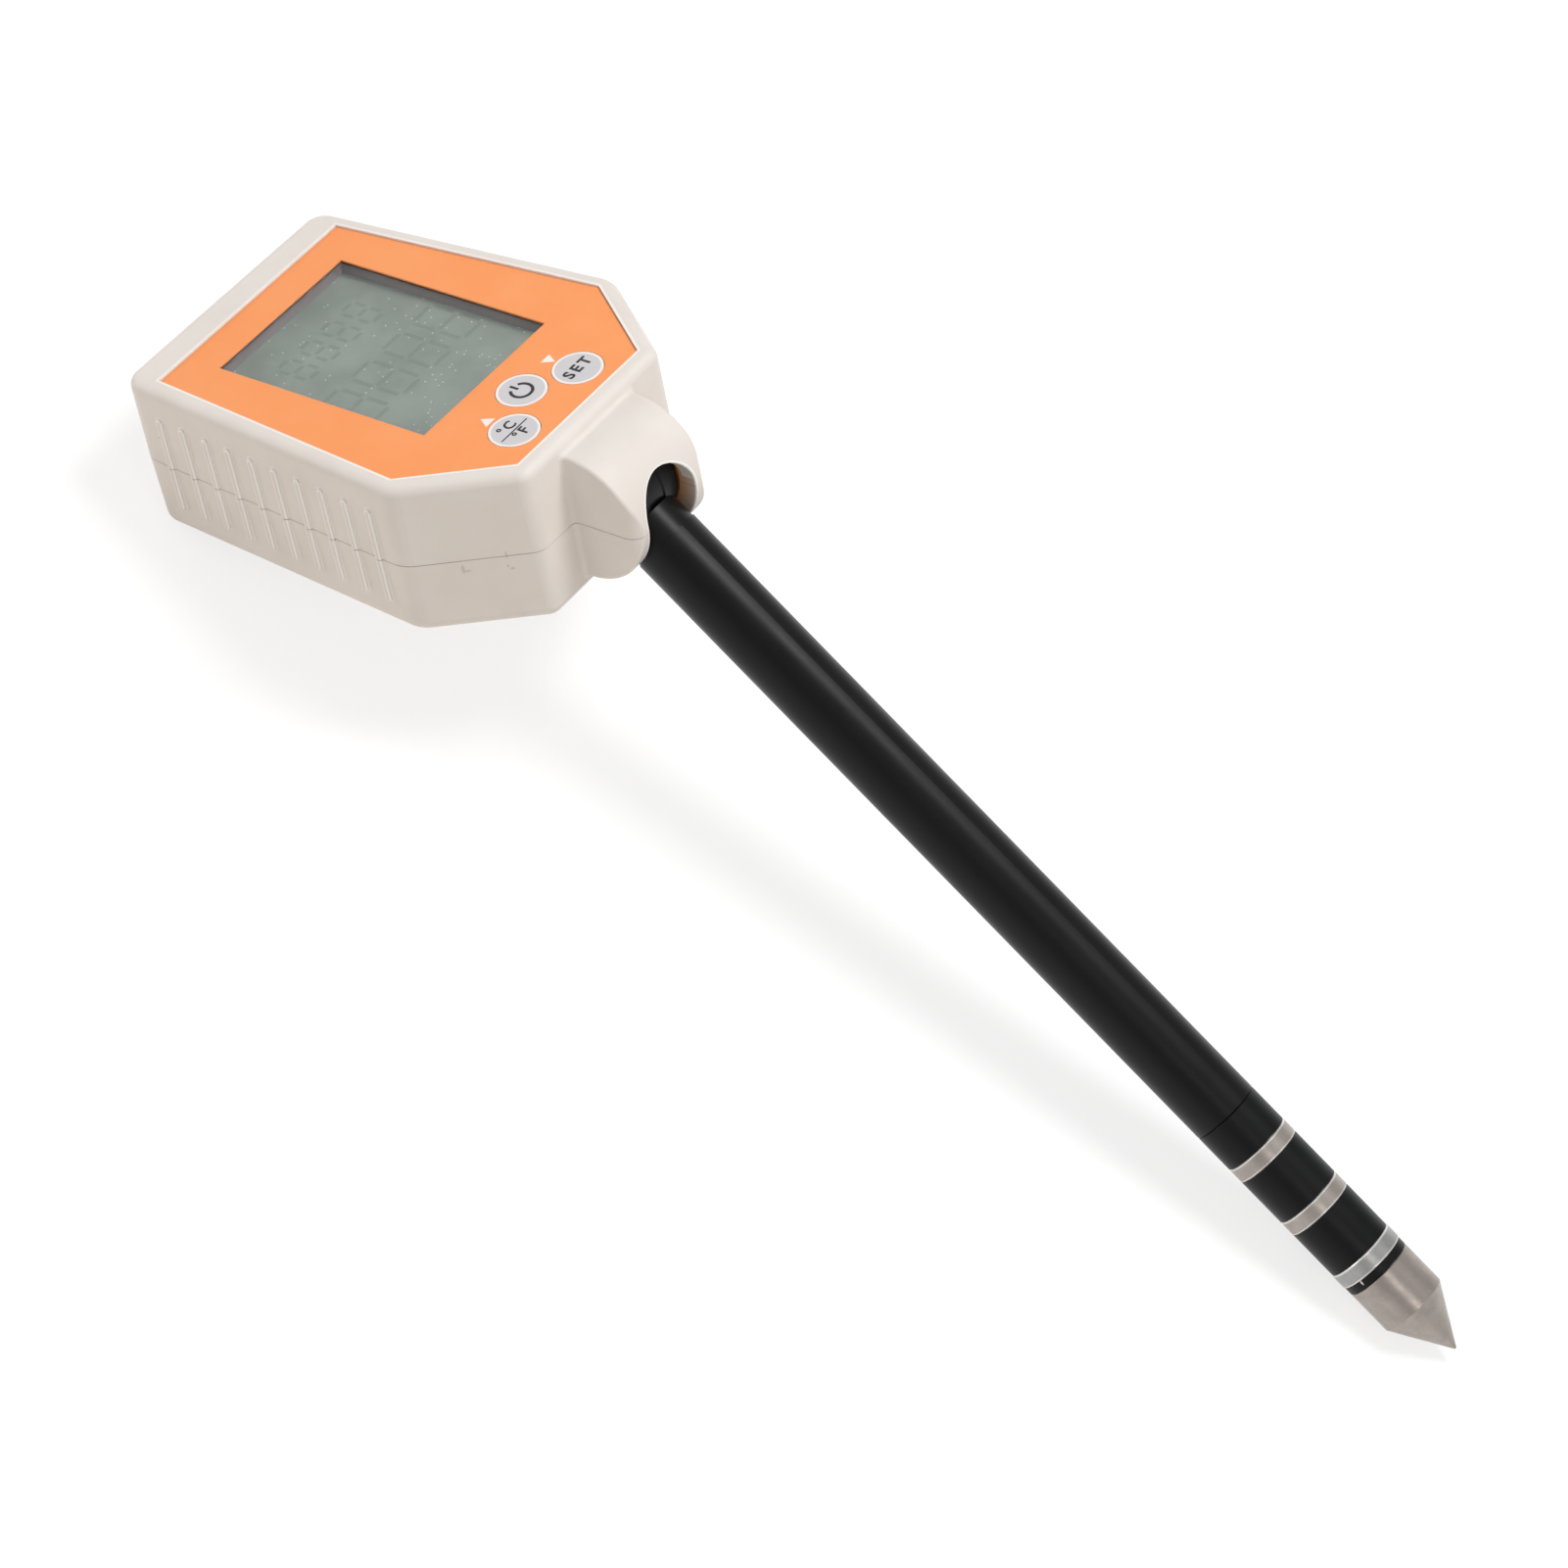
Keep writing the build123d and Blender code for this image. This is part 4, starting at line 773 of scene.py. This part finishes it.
def letters(text, size, x, y, bold, spacing):
    """Words as flat ink, centred on a place of the drawing."""
    curve = bpy.data.curves.new("letters", "FONT")
    curve.body = text
    curve.size = size
    curve.align_x = "CENTER"
    curve.align_y = "CENTER"
    curve.offset = bold
    curve.space_character = spacing
    curve.resolution_u = 3
    holder = bpy.data.objects.new("letters", curve)
    bpy.context.scene.collection.objects.link(holder)
    bpy.context.view_layer.update()
    flat = bpy.data.meshes.new_from_object(holder)
    flat.transform(Matrix.Translation((x, y, 0)))
    bpy.data.objects.remove(holder)
    return flat


def draw_words(name, words, bars=()):
    """Words and bars of ink as one mesh."""
    work = bmesh.new()
    for text, size, x, y, bold, spacing in words:
        work.from_mesh(letters(text, size, x, y, bold, spacing))
    for bar in bars:
        add_bar(work, *bar)
    raise_ink(work)
    return to_mesh(work, name)


def print_key(key, mesh):
    """A drawing on a key's top, its up turned towards the display."""
    on_key = HEAD @ Matrix.Translation((*KEY_PLACES[key], LABEL_TOP)) @ UP_TO_DISPLAY
    finish_piece(f"print_{key}", mesh, f"key_{key}", INK_BLACK, on_key)


print_key("power", draw_power_sign())
print_key("set", draw_words("set_word", [("SET", 2.95, 0, 0, 0.1, 1.4)]))
unit_words = [("°C", 2.8, 0, 1.45, 0.07, 1.2), ("°F", 2.8, 0, -1.45, 0.07, 1.2)]
print_key("unit", draw_words("unit_words", unit_words, [(6.6, 0.24)]))


# The middle of each triangle's base, along and across, its length and half its width
TRIANGLES = ((55.75, 8.4, 2.1, 1.15), (57.95, -8.92, -2.1, 1.2))


def draw_arrow_marks():
    """Two small triangles by the side keys, one pointing each way along the head."""
    work = bmesh.new()
    for x, y, length, half in TRIANGLES:
        corners = ((x, y - half), (x, y + half), (x + length, y))
        verts = [new_point(work, *corner) for corner in corners]
        bmesh.ops.contextual_create(work, geom=verts)
    raise_ink(work)
    return to_mesh(work, "arrow_marks")


finish_piece("print_arrows", draw_arrow_marks(), "head", INK_WHITE)


def turn_pair(name, profile):
    """A ring turned about the hinge axis from points of place and radius, and its mirror image."""
    work = bmesh.new()
    for side in (1, -1):
        verts = [new_point(work, radius, 0, side * across) for across, radius in profile]
        edges = [work.edges.new((verts[i - 1], verts[i])) for i in range(len(verts))]
        bmesh.ops.spin(work, geom=[*verts, *edges], cent=(0, 0, 0), axis=(0, 0, 1), angle=2 * pi,
                       steps=TURNED_STEPS, use_merge=True)
    bmesh.ops.remove_doubles(work, verts=work.verts[:], dist=0.001)
    bmesh.ops.recalc_face_normals(work, faces=work.faces[:])
    return to_mesh(work, name)


# The hinge as it shows in the slot: flanges that fill out the knuckle, and thin brass washers
BORE_R = TRUNNION_R + 0.05
WASHER_FROM = FLANGE_HALF + 0.05
WASHER_TO = WASHER_FROM + WASHER_T
WASHER_R = FLANGE_R - 0.3
flange_profile = (
    (FLANGE_FROM, KNUCKLE_R - 0.2),
    (FLANGE_FROM, FLANGE_R - 0.2),
    (FLANGE_FROM + 0.2, FLANGE_R),
    (FLANGE_HALF - 0.5, FLANGE_R),
    (FLANGE_HALF, FLANGE_R - 0.5),
    (FLANGE_HALF, BORE_R),
    (KNUCKLE_HALF - 0.1, BORE_R),
    (KNUCKLE_HALF - 0.1, KNUCKLE_R - 1.5),
)
washer_profile = (
    (WASHER_FROM, BORE_R),
    (WASHER_FROM, WASHER_R),
    (WASHER_TO, WASHER_R),
    (WASHER_TO, BORE_R),
)
finish_piece("knuckle_flanges", turn_pair("knuckle_flanges", flange_profile), "probe",
             MATERIALS["hinge_black"], HINGE)
washers = finish_piece("thin_washers", turn_pair("thin_washers", washer_profile), "head",
                       MATERIALS["washer_brass"], HINGE)
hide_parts("friction_washers")


def add_segment(work, x, y, length, turned_up):
    """One segment: a bar with pointed ends."""
    made = bmesh.ops.create_circle(work, cap_ends=True, segments=6, radius=1.0)
    half_w = SEGMENT_W / 2
    for vert in made["verts"]:
        is_point = abs(vert.co.x) > 0.9
        reach = length / 2 if is_point else length / 2 - half_w
        side = 0 if is_point else half_w
        vert.co.x = reach if vert.co.x > 0 else -reach
        vert.co.y = side if vert.co.y > 0 else -side
    if turned_up:
        quarter = Matrix.Rotation(pi / 2, 3, "Z")
        bmesh.ops.rotate(work, verts=made["verts"], cent=(0, 0, 0), matrix=quarter)
    bmesh.ops.translate(work, verts=made["verts"], vec=(x, y, 0))


# Each row's middle, the length of its segments with the gap at their ends, and the pitch of its
# figures
SEGMENT_ROWS = ((-3.5, 5.4, 8.2), (11.5, 3.4, 5.6))
SEGMENT_GAP = 0.5
FIGURES = 4


def draw_display_segments():
    """Two rows of seven-segment figures, switched off, seen from the key side of the head."""
    work = bmesh.new()
    for row_y, size, pitch in SEGMENT_ROWS:
        length = size - SEGMENT_GAP
        for i in range(FIGURES):
            x = (i - (FIGURES - 1) / 2) * pitch
            for level in (-1, 0, 1):
                add_segment(work, x, row_y + level * size, length, False)
            for side in (-1, 1):
                for level in (-0.5, 0.5):
                    add_segment(work, x + side * size / 2, row_y + level * size, length, True)
    raise_ink(work)
    return to_mesh(work, "display_segments")


window = Matrix.Translation((WINDOW_MIDDLE_X, 0.0, DISPLAY_TOP)) @ UP_TO_DISPLAY
finish_piece("display_segments", draw_display_segments(), "head", SEGMENT_INK,
             HEAD @ window)

# Floor, light and camera
FLOOR_HALF = 3.0
FLOOR_GLOW = 0.72
STUDIO_LIGHT = 0.475
LAMP_DISTANCE = 1.0

# What is mirrored: two heights of the sky, and its brightness at each
MIRRORED_SKY = (0.05, 0.5, 0.9, 0.5)

# Each lamp's name, direction in the head's frame, size, power and colour
SOFTBOXES = (
    ("key_light", (0.56, 0.23, 0.8), 0.32, 5.55, (1.0, 1.0, 1.0)),
    ("rim_light", (-0.88, -0.3, 0.38), 0.24, 3.7, (1.0, 0.96, 0.92)),
    ("front_light", (0.9, -0.4, 0.25), 0.3, 0.85, (1.0, 0.96, 0.92)),
)


def make_floor():
    """A plain pale floor whose white shows behind the object; it keeps the object's shadow."""
    material, tree, shader = new_material("pale_floor")
    marks = put(tree, "ShaderNodeTexNoise", {"Scale": 30.0, "Detail": 2.0}).outputs["Fac"]
    pale = blend(tree, marks, paint(236, 227, 216), paint(240, 231, 220))
    shader.inputs["Roughness"].default_value = 0.9
    shader.inputs["Specular IOR Level"].default_value = 0.0
    path = put(tree, "ShaderNodeLightPath").outputs
    mirrored = larger(tree, path["Is Glossy Ray"], path["Is Transmission Ray"])
    seen = larger(tree, path["Is Camera Ray"], mirrored)
    tree.links.new(blend(tree, seen, pale, paint(160, 160, 160)), shader.inputs["Base Color"])
    white = {"Color": (1, 1, 1, 1), "Strength": times(tree, seen, FLOOR_GLOW)}
    glow = put(tree, "ShaderNodeEmission", white).outputs[0]
    both = put(tree, "ShaderNodeAddShader", {0: shader.outputs[0], 1: glow})
    tree.links.new(both.outputs[0], tree.nodes["Material Output"].inputs["Surface"])
    work = bmesh.new()
    bmesh.ops.create_grid(work, x_segments=1, y_segments=1, size=FLOOR_HALF)
    mesh = to_mesh(work, "floor")
    mesh.materials.append(material)
    floor = bpy.data.objects.new("floor", mesh)
    bpy.context.scene.collection.objects.link(floor)


def make_world():
    """Even white light, white where it is seen; what is mirrored is white low down, grey above."""
    world = bpy.data.worlds.new("studio")
    bpy.context.scene.world = world
    world.use_nodes = True
    tree = world.node_tree
    path = put(tree, "ShaderNodeLightPath").outputs
    direction = put(tree, "ShaderNodeTexCoord").outputs["Generated"]
    height = along_axes(tree, direction)["Z"]
    mirrored = larger(tree, path["Is Glossy Ray"], path["Is Transmission Ray"])
    in_mirror = times(tree, mirrored, remap(tree, height, *MIRRORED_SKY))
    seen = larger(tree, path["Is Camera Ray"], in_mirror)
    lighting = minus(tree, 1.0, larger(tree, path["Is Camera Ray"], mirrored))
    strength = work_out(tree, "ADD", seen, times(tree, lighting, STUDIO_LIGHT))
    background = tree.nodes["Background"]
    background.inputs["Color"].default_value = (1, 1, 1, 1)
    tree.links.new(strength, background.inputs["Strength"])


def add_softbox(name, direction, size, power, colour):
    """A square lamp in a direction of the head's frame, turned to the hinge."""
    light = bpy.data.lights.new(name, "AREA")
    light.shape = "SQUARE"
    light.size = size
    light.energy = power
    light.color = colour
    lamp = bpy.data.objects.new(name, light)
    bpy.context.scene.collection.objects.link(lamp)
    towards = (HEAD.to_3x3() @ Vector(direction)).normalized()
    turn = towards.to_track_quat("Z", "Y").to_matrix().to_4x4()
    lamp.matrix_world = Matrix.Translation(PIVOT + towards * LAMP_DISTANCE) @ turn


def set_camera():
    """The photograph's viewpoint."""
    lens = bpy.data.cameras.new("camera")
    lens.lens = LENS
    lens.sensor_width = SENSOR
    lens.sensor_height = SENSOR
    lens.clip_start = 0.05
    lens.clip_end = 20.0
    camera = bpy.data.objects.new("camera", lens)
    bpy.context.scene.collection.objects.link(camera)
    turn = HEAD.to_3x3() * (1 / MM)
    right = (turn @ PICTURE_RIGHT).normalized()
    up = -(turn @ PICTURE_DOWN).normalized()
    back = right.cross(up)
    place = Matrix((right, up, back)).transposed().to_4x4()
    place.translation = PIVOT + turn @ Vector(EYE) * MM
    camera.matrix_world = place
    bpy.context.scene.camera = camera


make_floor()
make_world()
for softbox in SOFTBOXES:
    add_softbox(*softbox)
set_camera()
bpy.context.scene.view_settings.view_transform = "Standard"
